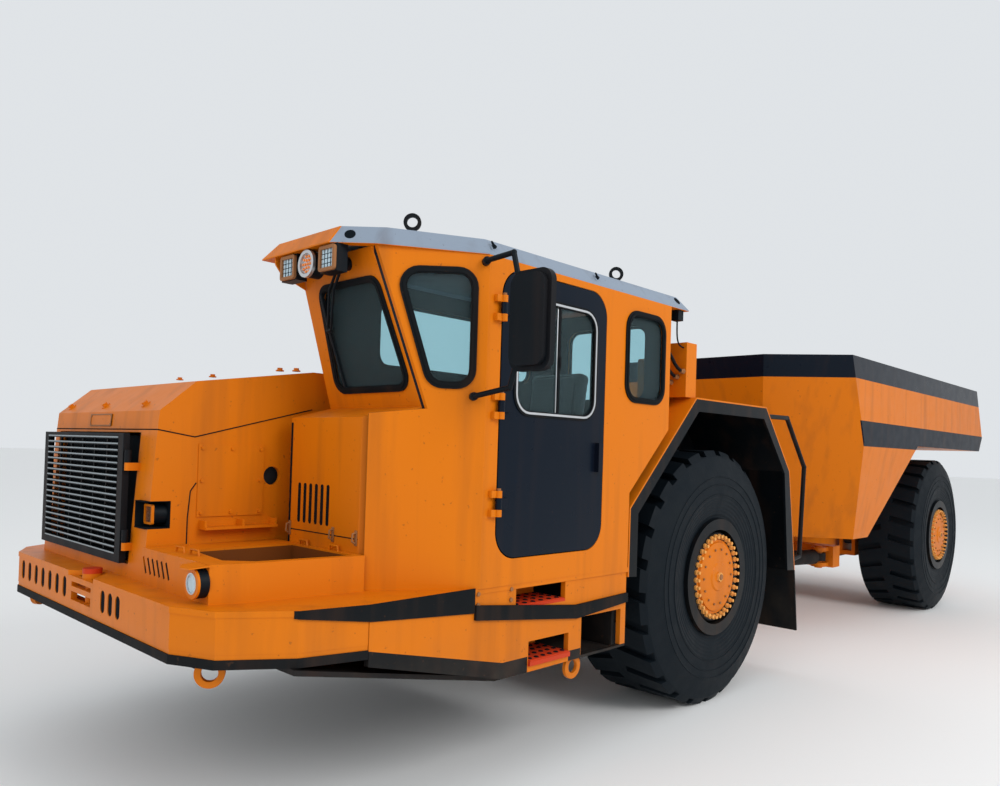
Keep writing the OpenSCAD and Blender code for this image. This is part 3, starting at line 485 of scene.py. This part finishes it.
def add_rod(bm, at, axis, r, h, sides=16, r2=None, index=0):
    """A round or many-sided rod from a point along an axis."""
    before = set(bm.faces)
    m = Matrix.Translation(at + Vector(axis).normalized() * h / 2) @ turned(axis)
    bmesh.ops.create_cone(bm, cap_ends=True, segments=sides, radius1=r,
                          radius2=r if r2 is None else r2, depth=h, matrix=m)
    paint_new(bm, before, index)


def add_box(bm, low, high, index=0, edge=0.0):
    """A box between two corners, with its edges rounded where edge is given."""
    before = set(bm.faces)
    place = Matrix.Translation((low + high) / 2) @ Matrix.Diagonal((*(high - low), 1))
    out = bmesh.ops.create_cube(bm, size=1.0, matrix=place)
    if edge:
        edges = list({e for v in out["verts"] for e in v.link_edges})
        bmesh.ops.bevel(bm, geom=edges, offset=edge, offset_type="OFFSET", segments=2,
                        profile=0.5, affect="EDGES", material=-1)
    paint_new(bm, before, index)


def thicken(bm, faces, along):
    """Draws flat faces out into a solid."""
    out = bmesh.ops.extrude_face_region(bm, geom=faces, use_keep_orig=True)
    verts = [v for v in out["geom"] if isinstance(v, bmesh.types.BMVert)]
    bmesh.ops.translate(bm, vec=along, verts=verts)


def add_plate(bm, pts, along, index=0):
    """A flat plate on an outline, as thick as the along vector."""
    before = set(bm.faces)
    face = bm.faces.new([bm.verts.new(p) for p in pts])
    thicken(bm, [face], along)
    paint_new(bm, before, index)


def add_band(bm, pts, along, width, index=0):
    """A flat frame inside an outline, as thick as the along vector."""
    before = set(bm.faces)
    face = bm.faces.new([bm.verts.new(p) for p in pts])
    face.normal_update()
    bmesh.ops.inset_individual(bm, faces=[face], thickness=width, use_even_offset=True)
    bmesh.ops.delete(bm, geom=[face], context="FACES_ONLY")
    thicken(bm, [f for f in bm.faces if f not in before], along)
    paint_new(bm, before, index)


def add_pipe(bm, pts, r, closed=False, index=0):
    """A round tube along the points."""
    before = set(bm.faces)
    cu = bpy.data.curves.new("path", "CURVE")
    cu.dimensions = "3D"
    cu.bevel_depth = r
    cu.bevel_resolution = 3
    cu.use_fill_caps = True
    sp = cu.splines.new("POLY")
    sp.points.add(len(pts) - 1)
    for q, p in zip(sp.points, pts):
        q.co = (*p, 1)
    sp.use_cyclic_u = closed
    ob = bpy.data.objects.new("path", cu)
    me = bpy.data.meshes.new_from_object(ob)
    bm.from_mesh(me)
    bpy.data.objects.remove(ob)
    bpy.data.curves.remove(cu)
    bpy.data.meshes.remove(me)
    paint_new(bm, before, index)


def rect(u0, v0, u1, v1):
    """Corners of a rectangle, anticlockwise."""
    return [(u0, v0), (u1, v0), (u1, v1), (u0, v1)]


def grown(pts, d):
    """A convex outline, drawn anticlockwise, moved out by d."""
    out = []
    n = len(pts)
    for i in range(n):
        p, a, b = Vector(pts[i]), Vector(pts[i - 1]), Vector(pts[(i + 1) % n])
        u, v = (p - a).normalized(), (b - p).normalized()
        nu, nv = Vector((u.y, -u.x)), Vector((v.y, -v.x))
        out.append(p + (nu + nv) * d / (1 + nu.dot(nv)))
    return out


def rounded(pts, r, steps=6):
    """A convex outline with its corners rounded."""
    out = []
    n = len(pts)
    for i in range(n):
        p, a, b = Vector(pts[i]), Vector(pts[i - 1]), Vector(pts[(i + 1) % n])
        u, v = (a - p).normalized(), (b - p).normalized()
        half = math.acos(max(-1, min(1, u.dot(v)))) / 2
        c = p + (u + v).normalized() * r / math.sin(half)
        s, e = p + u * r / math.tan(half) - c, p + v * r / math.tan(half) - c
        turn = math.copysign(math.pi - 2 * half, s.x * e.y - s.y * e.x)
        for k in range(steps + 1):
            t = turn * k / steps
            out.append((c.x + s.x * math.cos(t) - s.y * math.sin(t),
                        c.y + s.x * math.sin(t) + s.y * math.cos(t)))
    return out


def circle(u, v, r, steps=32):
    """Points around a centre."""
    turns = [2 * math.pi * k / steps for k in range(steps)]
    return [(u + r * math.cos(t), v + r * math.sin(t)) for t in turns]


def laid(place, pts):
    """A flat outline set on a face of the truck."""
    return [place(u, v) for u, v in pts]


def on_front(x):
    """A face that looks along the truck."""
    return lambda u, v: R(x, u, v)


def on_side(y):
    """A face that looks across the truck."""
    return lambda u, v: R(u, y, v)


def on_screen(u, v):
    """The face of the leaning windscreen."""
    return R(SCREEN_FOOT_X + SCREEN_LEAN * (v - SCREEN_FOOT_Z), u, v)


def on_bend(u, v):
    """The face of the cab's bent corner."""
    return R(BEND_X + u * math.cos(BEND), HALF_W - u * math.sin(BEND), v)


class TRUCK_OT_finish(bpy.types.Operator):
    """Gives every CAD piece its finish and soft edges"""
    bl_idname = "truck.finish_cad"
    bl_label = "Finish the pieces"

    def execute(self, context):
        look = context.scene.truck_look
        make_materials(look)
        slots = {s["node"]: s["material_slot"] for s in frame["record"]["subparts"]}
        special = {"bed_sides": "bed_orange", "rear_frame": "body_orange"}
        for name in ("side_skirts", "tow_fittings", "fenders", "tray_box", "cab_side", "cab_right",
                     "cab_rear", "cab_corner", "cab_front"):
            special[name] = name
        for tag in ("fl", "fr", "rl", "rr"):
            special["wheel_" + tag] = "wheel_" + tag[0]
            special["tyre_" + tag] = "tyre_" + tag[0]
        for name, ob in frame["nodes"].items():
            ob.data.materials.clear()
            ob.data.materials.append(MAT[special.get(name, slots[name])])
            if slots[name] in ("glass", "tyre"):
                continue
            bev = ob.modifiers.new("edge", "BEVEL")
            bev.width = look.edge
            bev.segments = 2
            bev.limit_method = "ANGLE"
            bev.angle_limit = math.radians(ROUND_ANGLE)
        return {"FINISHED"}


class TRUCK_OT_wheels(bpy.types.Operator):
    """Adds the nuts and plugs of the wheel hubs and the rings on the tyres"""
    bl_idname = "truck.wheels"
    bl_label = "Wheel trim"

    def execute(self, context):
        look = context.scene.truck_look
        for name, x, side in (("front_left", 0, 1), ("front_right", 0, -1),
                              ("rear_left", -WHEELBASE, 1), ("rear_right", -WHEELBASE, -1)):
            bm = bmesh.new()
            out = Vector((0, side, 0))
            for u, v in circle(0, 0, NUT_CIRCLE, look.nuts):
                at = R(x + u, side * (HUB_Y - 2), AXLE_Z + v)
                add_rod(bm, at, out, look.nut_r, 0.016, 6)
                add_rod(bm, at, out, look.nut_r * 0.62, 0.036, 10)
            for u, v in circle(0, 0, PLUG_CIRCLE, PLUGS):
                at = R(x + u, side * (HUB_Y + 12), AXLE_Z + v)
                add_rod(bm, at, out, 0.008, 0.012, 6, index=1)
            add_rod(bm, R(x, side * (HUB_Y + 26), AXLE_Z), out, 0.034, 0.016, 6)
            add_rod(bm, R(x, side * (HUB_Y + 40), AXLE_Z), out, 0.020, 0.008, 16, index=1)
            rings = bmesh.new()
            wall = on_side(side * (TYRE_Y + 0.5))
            for r in TYRE_RINGS:
                add_pipe(rings, laid(wall, circle(x, AXLE_Z, r, 96)), 0.0035, True)
            new_object("tyre_rings_" + name, rings, "tyre_" + name[0], "wheel_" + name, 60)
            new_object("hub_nuts_" + name, bm, ["nut_painted_highlight", "bronze"], "wheel_" + name)
        return {"FINISHED"}


class TRUCK_OT_glazing(bpy.types.Operator):
    """Adds the window rubbers and the door's sliding window frame"""
    bl_idname = "truck.glazing"
    bl_label = "Window rubbers"

    def execute(self, context):
        w = context.scene.truck_look.seal_w
        screen = [(612, 1990), (1188, 1990), (1098, 2490), (640, 2490)]
        corner = [(70, 2003), (266, 2003), (432, 2528), (70, 2545)]
        windows = (
            (screen, 60, on_screen, (1, 0, -SCREEN_LEAN)),
            (corner, 75, on_bend, (math.sin(BEND), math.cos(BEND), 0)),
            (rect(852, 2025, 1234, 2530), 90, on_side(HALF_W), (0, 1, 0)),
            (rect(1000, 2160, 2300, 2530), 80, on_side(470), (0, -1, 0)),
            (rect(640, 2050, 1270, 2530), 80, on_front(768), (-1, 0, 0)),
        )
        bm = bmesh.new()
        for pts, r, place, normal in windows:
            n = Vector(normal).normalized()
            for spread, width, low, high in ((19, w, -2, 9), (4, w * 0.35, 8, 14)):
                line = laid(place, rounded(grown(pts, spread), r + spread))
                add_band(bm, [at + n * low / 1000 for at in line], n * (high - low) / 1000, width)
        new_object("window_rubbers", bm, "rubber", "front_unit", ROUND_ANGLE)
        bm = bmesh.new()
        n = Vector((0, 1, 0))
        place = on_side(HALF_W)
        glass = rect(1540, 1890, 2185, 2472)
        add_band(bm, laid(place, rounded(grown(glass, 14), 114)), n * 0.008, 0.030, 1)
        add_band(bm, laid(place, rounded(grown(glass, 2), 102)), n * 0.011, 0.011)
        add_box(bm, R(1842, HALF_W - 9, 1898), R(1858, HALF_W + 3, 2464), 1, 0.002)
        add_box(bm, R(1862, HALF_W - 9, 1898), R(1868, HALF_W - 2, 2464), 0, 0.002)
        add_box(bm, R(1845, HALF_W + 2, 2140), R(1856, HALF_W + 12, 2200), 1, 0.003)
        new_object("door_window_frame", bm, ["silver", "rubber"], "cab_door", ROUND_ANGLE)
        return {"FINISHED"}


class TRUCK_OT_lamps(bpy.types.Operator):
    """Adds bezels, lenses and hoods to the lamps"""
    bl_idname = "truck.lamps"
    bl_label = "Lamp trim"

    def execute(self, context):
        ahead = Vector((1, 0, 0))
        bm = bmesh.new()
        place = on_front(2975)
        low, high = 2522, 2612
        for y in (632, 968):
            rim = rounded(rect(y - 64, low - 14, y + 64, high + 14), 16)
            add_band(bm, laid(place, rim), ahead * 0.014, 0.016)
            add_plate(bm, laid(place, rounded(rect(y - 50, low, y + 50, high), 8)), ahead * 0.004, 1)
            for i in range(1, 4):
                z, bar_y = low + i * 22.5, y - 50 + i * 25
                add_box(bm, R(2978, y - 50, z - 1), R(2981, y + 50, z + 1), 3)
                add_box(bm, R(2978, bar_y - 1, low), R(2981, bar_y + 1, high), 3)
        beacon = (800, 2564)
        add_band(bm, laid(place, circle(*beacon, 66)), ahead * 0.016, 0.016, 2)
        add_plate(bm, laid(place, circle(*beacon, 52)), ahead * 0.003, 2)
        for count, r in ((1, 0), (6, 20), (10, 38)):
            for at in laid(place, circle(*beacon, r, count)):
                add_rod(bm, at, ahead, 0.0085, 0.009, 10, 0.006, 4)
        new_object("visor_lenses", bm, ["bronze", "lens", "silver", "inside", "amber"], "front_unit",
                   ROUND_ANGLE)
        bm = bmesh.new()
        face = on_front(3580)
        headlamp = (1000, 1128)
        add_band(bm, laid(face, circle(*headlamp, 62)), ahead * 0.010, 0.020, 2)
        add_band(bm, laid(face, circle(*headlamp, 44)), ahead * 0.012, 0.006)
        add_plate(bm, laid(face, circle(*headlamp, 42)), ahead * 0.006, 1)
        lid = [R(3541, 925, 1198), R(3541, 1062, 1198), R(3620, 1040, 1190), R(3630, 980, 1188),
               R(3600, 925, 1192)]
        add_plate(bm, lid, Vector((0, 0, 0.005)), 2)
        new_object("tray_headlamp", bm, ["silver", "lens", "body_orange"], "front_unit",
                   ROUND_ANGLE)
        bm = bmesh.new()
        add_box(bm, R(3411, 256, 1286), R(3528, 379, 1289))
        add_box(bm, R(3411, 256, 1411), R(3528, 379, 1414))
        add_box(bm, R(3411, 256, 1289), R(3413, 379, 1411))
        add_box(bm, R(3413, 256, 1289), R(3526, 259, 1411))
        face = on_front(3476)
        add_band(bm, laid(face, rounded(rect(266, 1303, 354, 1397), 10)), ahead * 0.012, 0.010, 1)
        add_plate(bm, laid(face, rounded(rect(274, 1311, 346, 1389), 6)), ahead * 0.005, 2)
        new_object("pocket_lamp", bm, ["inside", "body_orange", "brown_lens"], "front_unit",
                   ROUND_ANGLE)
        bm = bmesh.new()
        place = on_front(-6340)
        for side in (1, -1):
            low, high = sorted((side * 338, side * 442))
            add_plate(bm, laid(place, rounded(rect(low, 708, high, 792), 10)), ahead * -0.006)
        new_object("rear_lenses", bm, "red_lens", "rear_unit", ROUND_ANGLE)
        return {"FINISHED"}


class TRUCK_OT_wiper(bpy.types.Operator):
    """Adds the wiper over the windscreen"""
    bl_idname = "truck.wiper"
    bl_label = "Wiper"

    def execute(self, context):
        n = Vector((1, 0, -SCREEN_LEAN)).normalized()

        def at(u, v, off):
            return on_screen(u, v) + n * off / 1000
        bm = bmesh.new()
        add_rod(bm, at(905, 2580, -2), n, 0.034, 0.022, 20)
        add_rod(bm, at(905, 2580, 18), n, 0.016, 0.020, 16)
        add_pipe(bm, [at(905, 2580, 32), at(800, 2480, 34), at(690, 2290, 26)], 0.007)
        add_pipe(bm, [at(860, 2572, 30), at(758, 2480, 32), at(662, 2290, 26)], 0.007)
        add_pipe(bm, [at(696, 2292, 26), at(655, 2288, 26)], 0.009)
        add_pipe(bm, [at(664, 2470, 20), at(672, 2300, 24), at(706, 2010, 20)], 0.008)
        add_pipe(bm, [at(664, 2470, 10), at(672, 2300, 10), at(706, 2010, 10)], 0.005)
        for u, v in ((664, 2440), (674, 2290), (700, 2060)):
            add_rod(bm, at(u, v, 8), n, 0.007, 0.016, 10)
        new_object("wiper", bm, "black_plastic", "front_unit", ROUND_ANGLE)
        return {"FINISHED"}


class TRUCK_OT_mirror(bpy.types.Operator):
    """Adds the mirror's glass and its rim"""
    bl_idname = "truck.mirror_glass"
    bl_label = "Mirror glass"

    def execute(self, context):
        bm = bmesh.new()
        place = on_front(2392)
        back = Vector((-1, 0, 0))
        glass = rect(1638, 2080, 1842, 2495)
        rim = rect(1630, 2072, 1850, 2503)
        add_plate(bm, laid(place, rounded(glass, 46)), back * 0.003)
        add_band(bm, laid(place, rounded(rim, 54)), back * 0.006, 0.010, 1)
        new_object("mirror_pane", bm, ["mirror_glass", "black_plastic"], "front_unit",
                   ROUND_ANGLE)
        return {"FINISHED"}


def settle(ob):
    """Makes an object's modifiers part of its mesh."""
    graph = bpy.context.evaluated_depsgraph_get()
    me = bpy.data.meshes.new_from_object(ob.evaluated_get(graph))
    ob.modifiers.clear()
    ob.data = me


def puff(ob, voxel, cap):
    """Swells a closed pad with a short cloth run, no point moving more than the cap."""
    scene = bpy.context.scene
    rem = ob.modifiers.new("remesh", "REMESH")
    rem.mode = "VOXEL"
    rem.voxel_size = voxel
    settle(ob)
    start = [v.co.copy() for v in ob.data.vertices]
    cloth = ob.modifiers.new("cloth", "CLOTH")
    cloth.settings.use_pressure = True
    cloth.settings.uniform_pressure_force = 4.0
    cloth.settings.effector_weights.gravity = 0.0
    cloth.point_cache.frame_start = 1
    cloth.point_cache.frame_end = CLOTH_FRAMES
    for f in range(1, CLOTH_FRAMES + 1):
        scene.frame_set(f)
    settle(ob)
    scene.frame_set(1)
    for v, a in zip(ob.data.vertices, start):
        d = v.co - a
        if d.length > cap:
            v.co = a + d.normalized() * cap


class TRUCK_OT_seat(bpy.types.Operator):
    """Makes the driver's seat with padded cushions"""
    bl_idname = "truck.seat"
    bl_label = "Seat"

    def execute(self, context):
        lean = Matrix.Translation(R(1300, 940, 1500)) @ Matrix.Rotation(math.radians(-8), 4, "Y")
        here = Matrix.Identity(4)
        pads = (
            ("seat_cushion", here, R(1306, 716, 1412), R(1764, 1164, 1508)),
            ("seat_back", lean, Vector((-0.026, -0.214, 0.016)), Vector((0.076, 0.214, 0.704))),
        )
        made = []
        for name, turn, low, high in pads:
            bm = bmesh.new()
            add_box(bm, low, high, edge=PAD_EDGE)
            bmesh.ops.transform(bm, matrix=turn, verts=bm.verts)
            ob = new_object(name, bm, "seat_fabric", "front_unit")
            puff(ob, PAD_VOXEL, PAD_SWELL)
            ob.data.shade_smooth()
            sub = ob.modifiers.new("soft", "SUBSURF")
            sub.levels = 1
            sub.render_levels = 1
            made.append(ob)
        bm = bmesh.new()
        add_box(bm, R(1352, 782, 1092), R(1648, 1078, 1400), edge=0.012)
        for i in range(6):
            z = 1150 + i * 40
            add_box(bm, R(1344, 774, z), R(1656, 1086, z + 18), edge=0.008)
        seam = [R(u, v, 1460) for u, v in rounded(rect(1296, 706, 1774, 1174), 40)]
        add_pipe(bm, seam, 0.005, True, 1)
        back = [lean @ Vector((0.082, u, v)) for u, v in rounded(rect(-0.17, 0.06, 0.17, 0.66), 0.05)]
        add_pipe(bm, back, 0.004, True, 1)
        base = new_object("seat_base", bm, ["inside", "rubber"], "front_unit",
                          ROUND_ANGLE)
        for ob in (*made, base):
            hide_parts("seat")
        return {"FINISHED"}


class TRUCK_OT_hood(bpy.types.Operator):
    """Adds the hood's bolts and blank plate, painted highlights on the grille's slats, and the slots'
    dark backs: the grille's black mesh, and painted shade behind the other slots
    """
    bl_idname = "truck.hood_trim"
    bl_label = "Hood trim"

    def execute(self, context):
        up = Vector((0, 0, 1))
        slope = Vector((151, 0, 173)).normalized()
        bm = bmesh.new()
        for y in (-924, -403, 120):
            at = R(3438, y, 1876) - slope * 0.002
            add_rod(bm, at, slope, 0.024, 0.006, 20)
            add_rod(bm, at, slope, 0.015, 0.020, 6)
        top_bolts = ((2793, 270), (2738, 345), (2793, -500), (2793, -950), (1400, 270),
                     (1400, -500), (1400, -950))
        for x, y in top_bolts:
            add_rod(bm, R(x, y, 2093), up, 0.022, 0.006, 20)
            add_rod(bm, R(x, y, 2093), up, 0.014, 0.018, 6)
        left = Vector((0, 1, 0))
        for x in (2955, 3110, 3265):
            for z in (1355, 1512, 1670):
                if (x, z) != (3110, 1512):
                    add_rod(bm, R(x, 386, z), left, 0.010, 0.010, 6)
        front = Vector((90, 0, 7.5)).normalized()

        def on_band(u, v):
            return R(3485.5 - 7.5 * (v - 1751) / 90, u, v) - front * 0.001
        plate = rounded(rect(-482, 1766, -190, 1830), 5)
        add_plate(bm, laid(on_band, plate), front * 0.004)
        add_band(bm, laid(on_band, plate), front * 0.007, 0.006, 1)
        for u in (-472, -200):
            for v in (1776, 1820):
                add_rod(bm, on_band(u, v), front, 0.005, 0.007, 8, index=1)
        new_object("hood_bolts", bm, ["body_orange", "bronze"], "front_unit", ROUND_ANGLE)
        bm = bmesh.new()
        # Light strips on the slats' front edges: painted highlights.
        for i in range(SLATS):
            z = GRILLE_FOOT_Z + i * SLAT_PITCH
            add_box(bm, R(3565.5, -888, z), R(3569, 128, z + SLAT_HIGHLIGHT), edge=0.001)
        new_object("grille_highlights", bm, "slat_edge", "grille")
        # Dark plates behind the slots: the grille's black mesh, and painted shade behind the other
        # slots.
        bm = bmesh.new()
        backs = (((3444, -944, 1106), (3450, 184, 1720)), ((2845, 572, 1302), (2848, 866, 1518)),
                 ((3535, 420, 1082), (3538, 706, 1186)), ((3659, -950, 896), (3662, -190, 1010)),
                 ((3659, 236, 896), (3662, 500, 1010)))
        for low, high in backs:
            add_box(bm, R(*low), R(*high))
        new_object("slot_backs_and_shade", bm, "inside", "front_unit")
        return {"FINISHED"}


class TRUCK_OT_panels(bpy.types.Operator):
    """Adds the tray's handles, the door hinges' upper leaves, seams, latches and bolts"""
    bl_idname = "truck.panel_trim"
    bl_label = "Latches and handles"

    def execute(self, context):
        bm = bmesh.new()
        loops = (((3470, 590), (3466, 662)), ((3462, 712), (3457, 784)),
                 ((2868, 640), (2868, 712)), ((2868, 900), (2868, 972)))
        for (x0, y0), (x1, y1) in loops:
            loop = [R(x0, y0, 1203), R(x0, y0 + 6, 1228), R(x1, y1 - 6, 1228), R(x1, y1, 1203)]
            add_pipe(bm, loop, 0.006)
        up = Vector((0, 0, 1))
        for z in HINGE_Z:
            add_box(bm, R(2302, HALF_W - 1, z + 46), R(2350, HALF_W + 24, z + 80), edge=0.002)
            add_rod(bm, R(2302, HALF_W + 24, z + 46), up, 0.016, 0.034)
            add_rod(bm, R(2302, HALF_W + 24, z + 79), up, 0.010, 0.012, index=1)
        new_object("tray_handles", bm, ["body_orange", "bronze"], "front_unit",
                   ROUND_ANGLE)
        bm = bmesh.new()
        add_box(bm, R(2849.5, 506, 1269), R(2851.5, 1096, 1274))
        add_box(bm, R(2849.5, 503, 1060), R(2851.5, 519, 1812))
        side_y = 380.5
        around = [R(3486, -1016, 1750.5), R(3486, side_y, 1750.5)]
        around += laid(on_side(side_y), ((3305, 1721.5), (2655, 1890.5)))
        add_pipe(bm, around, 0.003)
        down = ((3328, 1208), (3328, 1330), (3318, 1460), (3290, 1500))
        add_pipe(bm, laid(on_side(side_y), down), 0.003)
        new_object("cab_front_seams", bm, "inside", "front_unit")
        bm = bmesh.new()
        for y in (520, 900, 1085):
            add_box(bm, R(2850, y - 9, 1240), R(2856, y + 9, 1312), edge=0.002)
            add_pipe(bm, [R(2856, y, 1300), R(2872, y, 1296), R(2874, y, 1262), R(2858, y, 1252)], 0.005)
        for x, z in ((2390, 1020), (2390, 968), (2160, 1020), (2160, 968)):
            add_rod(bm, R(x, 1429, z), Vector((0, 1, 0)), 0.011, 0.010, 6)
        new_object("panel_latches", bm, "bronze", "front_unit", ROUND_ANGLE)
        return {"FINISHED"}


class TRUCK_OT_steps(bpy.types.Operator):
    """Adds the red treads of the steps"""
    bl_idname = "truck.step_treads"
    bl_label = "Step treads"

    def execute(self, context):
        up = Vector((0, 0, 1))
        bm = bmesh.new()
        steps = ((1734, 2116, 1215, 1426, 923.5), (1696, 2011, 1205, 1443, 638.5))
        for side in (1, -1):
            for x0, x1, inner, outer, z in steps:
                y0, y1 = sorted((side * inner, side * outer))
                add_box(bm, R(x0, y0, z), R(x1, y1, z + 7), edge=0.002)
                back = sorted((side * (inner - 14), side * (inner - 6)))
                add_box(bm, R(x0, back[0], z), R(x1, back[1], z + 112), 2)
                for i in range(STUDS[0]):
                    for j in range(STUDS[1]):
                        at = R(x0 + (x1 - x0) * (i + 0.5) / STUDS[0],
                               y0 + (y1 - y0) * (j + 0.5) / STUDS[1], z + 6.5)
                        add_rod(bm, at, up, 0.015, 0.005, 12, 0.010, 1)
        new_object("step_treads", bm, ["step_red", "inside", "body_orange"], "front_unit",
                   ROUND_ANGLE)
        return {"FINISHED"}


class TRUCK_OT_roof(bpy.types.Operator):
    """Adds dark discs for the drain holes, painted shade in place of the holes, and clips on the roof's
    slopes
    """
    bl_idname = "truck.roof_trim"
    bl_label = "Roof trim"

    def execute(self, context):
        bm = bmesh.new()
        side = Vector((0, 82, 60)).normalized()
        nose = Vector((0.644, 0.603, 0.471)).normalized()
        # Dark discs for the holes: painted shade in place of the holes.
        for at, n in ((R(2920, 1054, 2677), nose), (R(645, 1401, 2691), side)):
            add_rod(bm, at - n * 0.002, n, 0.026, 0.0035, 24)
        for x in (2329, 1500):
            add_rod(bm, R(x, 1405, 2685) - side * 0.002, side, 0.012, 0.012, 12)
            add_pipe(bm, [R(x, 1409, 2691), R(x + 26, 1416, 2704), R(x + 30, 1436, 2668)], 0.005)
        new_object("roof_holes", bm, "inside", "front_unit", ROUND_ANGLE)
        return {"FINISHED"}


def bend(a, b, c, d, steps=24):
    """Points along a smooth curve that leaves a towards b and reaches d from c."""
    out = []
    for k in range(steps + 1):
        t = k / steps
        out.append(a * (1 - t) ** 3 + b * 3 * t * (1 - t) ** 2 + c * 3 * t * t * (1 - t) + d * t ** 3)
    return out


class TRUCK_OT_hoses(bpy.types.Operator):
    """Adds the valve box, hoses and lamp cable behind the cab, and the bracket under the visor"""
    bl_idname = "truck.hoses"
    bl_label = "Hoses and visor bracket"

    def execute(self, context):
        runs = [("lamp_cable", 0.005, "medium", bend(R(630, 1398, 2567), R(630, 1398, 2450),
                                                     R(610, 1388, 2410), R(504, 1376, 2410)))]
        fittings = bmesh.new()
        for i, y in enumerate((1380, 1336, 1292)):
            top, foot = 2380 - 34 * i, 2255 - 34 * i
            start, end = R(770, y, top), R(504, y, foot)
            route = bend(start, R(640, y, top), R(640, y, foot), end)
            runs.append((f"cab_hose_{i + 1}", 0.011, "stiff", route))
            for at, x in ((start, -1), (end, 1)):
                add_rod(fittings, at, Vector((x, 0, 0)), 0.018, 0.022, 6)
                add_rod(fittings, at, Vector((x, 0, 0)), 0.0145, 0.042, 16)
        new_object("hose_fittings", fittings, "bronze", "front_unit", ROUND_ANGLE)
        for name, r, stiffness, path in runs:
            bm = bmesh.new()
            add_pipe(bm, path, r)
            ob = new_object(name, bm, "rubber", "front_unit", ROUND_ANGLE)
        bm = bmesh.new()
        line = ((508, 2017), (690, 1843), (690, 2322), (682, 2330), (508, 2330))
        add_plate(bm, laid(on_side(1150), line), Vector((0, 0.125, 0)))
        for x in (530, 668):
            for z in (2060, 2300):
                add_rod(bm, R(x, 1274, z), Vector((0, 1, 0)), 0.008, 0.009, 6)
        new_object("valve_box", bm, "body_orange", "front_unit")
        bm = bmesh.new()
        line = ((2838, 2631), (2806, 2500), (2860, 2520), (2915, 2542), (2958, 2566),
                (2985, 2600), (2988, 2636))
        add_plate(bm, laid(on_side(512), line), Vector((0, 0.010, 0)))
        new_object("visor_bracket", bm, "body_orange", "front_unit")
        return {"FINISHED"}


def look_camera():
    """The photo's camera, found from wheel, deck and body points."""
    yaw, pitch, roll = (math.radians(v) for v in CAM_ANGLES)
    fwd = Vector((math.cos(yaw) * math.cos(pitch), math.sin(yaw) * math.cos(pitch), math.sin(pitch)))
    right = Vector((math.sin(yaw), -math.cos(yaw), 0))
    up = right.cross(fwd)
    r2 = right * math.cos(roll) + up * math.sin(roll)
    u2 = up * math.cos(roll) - right * math.sin(roll)
    m = Matrix((r2, u2, -fwd)).transposed().to_4x4()
    m.translation = R(*CAM_PLACE)
    return m


class TRUCK_OT_stage(bpy.types.Operator):
    """Sets the floor, light and camera"""
    bl_idname = "truck.stage"
    bl_label = "Studio"

    def execute(self, context):
        scene = context.scene
        m, _, p = base_material("floor")
        socket(p, "Base Color", (0.9, 0.9, 0.89, 1))
        socket(p, "Roughness", 0.9)
        bm = bmesh.new()
        bmesh.ops.create_grid(bm, x_segments=1, y_segments=1, size=FLOOR_HALF)
        me = bpy.data.meshes.new("floor")
        bm.to_mesh(me)
        bm.free()
        me.materials.append(m)
        floor = bpy.data.objects.new("floor", me)
        scene.collection.objects.link(floor)
        world = bpy.data.worlds.new("studio")
        world.use_nodes = True
        bg = world.node_tree.nodes["Background"]
        socket(bg, "Color", (0.93, 0.965, 1.0, 1))
        socket(bg, "Strength", 0.8)
        scene.world = world
        lights = (("key", (2, 13, 9), 6, 900), ("fill", (13, 4, 6), 7, 180))
        for name, at, size, power in lights:
            lamp = bpy.data.lights.new(name, "AREA")
            lamp.size = size
            lamp.energy = power
            ob = bpy.data.objects.new(name, lamp)
            ob.matrix_world = Matrix.Translation(at) @ turned(Vector(at) - Vector((0, 0, 1)))
            scene.collection.objects.link(ob)
        cam = bpy.data.cameras.new("photo")
        cam.sensor_fit = "HORIZONTAL"
        cam.sensor_width = 36
        cam.lens = CAM_LENS
        cam.shift_x, cam.shift_y = CAM_SHIFT
        cam.clip_end = 500
        ob = bpy.data.objects.new("photo", cam)
        ob.matrix_world = look_camera()
        scene.collection.objects.link(ob)
        scene.camera = ob
        scene.view_settings.view_transform = "Standard"
        return {"FINISHED"}


class TRUCK_PT_panel(bpy.types.Panel):
    """Buttons for the truck"""
    bl_idname = "TRUCK_PT_panel"
    bl_label = "Truck"
    bl_space_type = "VIEW_3D"
    bl_region_type = "UI"
    bl_category = "Truck"

    def draw(self, context):
        for key in TruckLook.__annotations__:
            self.layout.prop(context.scene.truck_look, key)
        for step in STEPS:
            self.layout.operator("truck." + step)


STEPS = ("finish_cad", "wheels", "glazing", "lamps", "wiper", "mirror_glass", "seat", "hood_trim",
         "panel_trim", "step_treads", "roof_trim", "hoses", "stage")
CLASSES = (TruckLook, TRUCK_OT_finish, TRUCK_OT_wheels, TRUCK_OT_glazing, TRUCK_OT_lamps, TRUCK_OT_wiper,
           TRUCK_OT_mirror, TRUCK_OT_seat, TRUCK_OT_hood, TRUCK_OT_panels, TRUCK_OT_steps, TRUCK_OT_roof,
           TRUCK_OT_hoses, TRUCK_OT_stage, TRUCK_PT_panel)


def register():
    """Adds the classes and the look's settings to Blender."""
    for c in CLASSES:
        bpy.utils.register_class(c)
    bpy.types.Scene.truck_look = bpy.props.PointerProperty(type=TruckLook)


def unregister():
    """Takes them out again."""
    del bpy.types.Scene.truck_look
    for c in reversed(CLASSES):
        bpy.utils.unregister_class(c)


def main():
    """Builds the scene step by step."""
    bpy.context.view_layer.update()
    register()
    for step in STEPS:
        getattr(bpy.ops.truck, step)()
    bpy.context.view_layer.update()


if __name__ == "__main__":
    main()
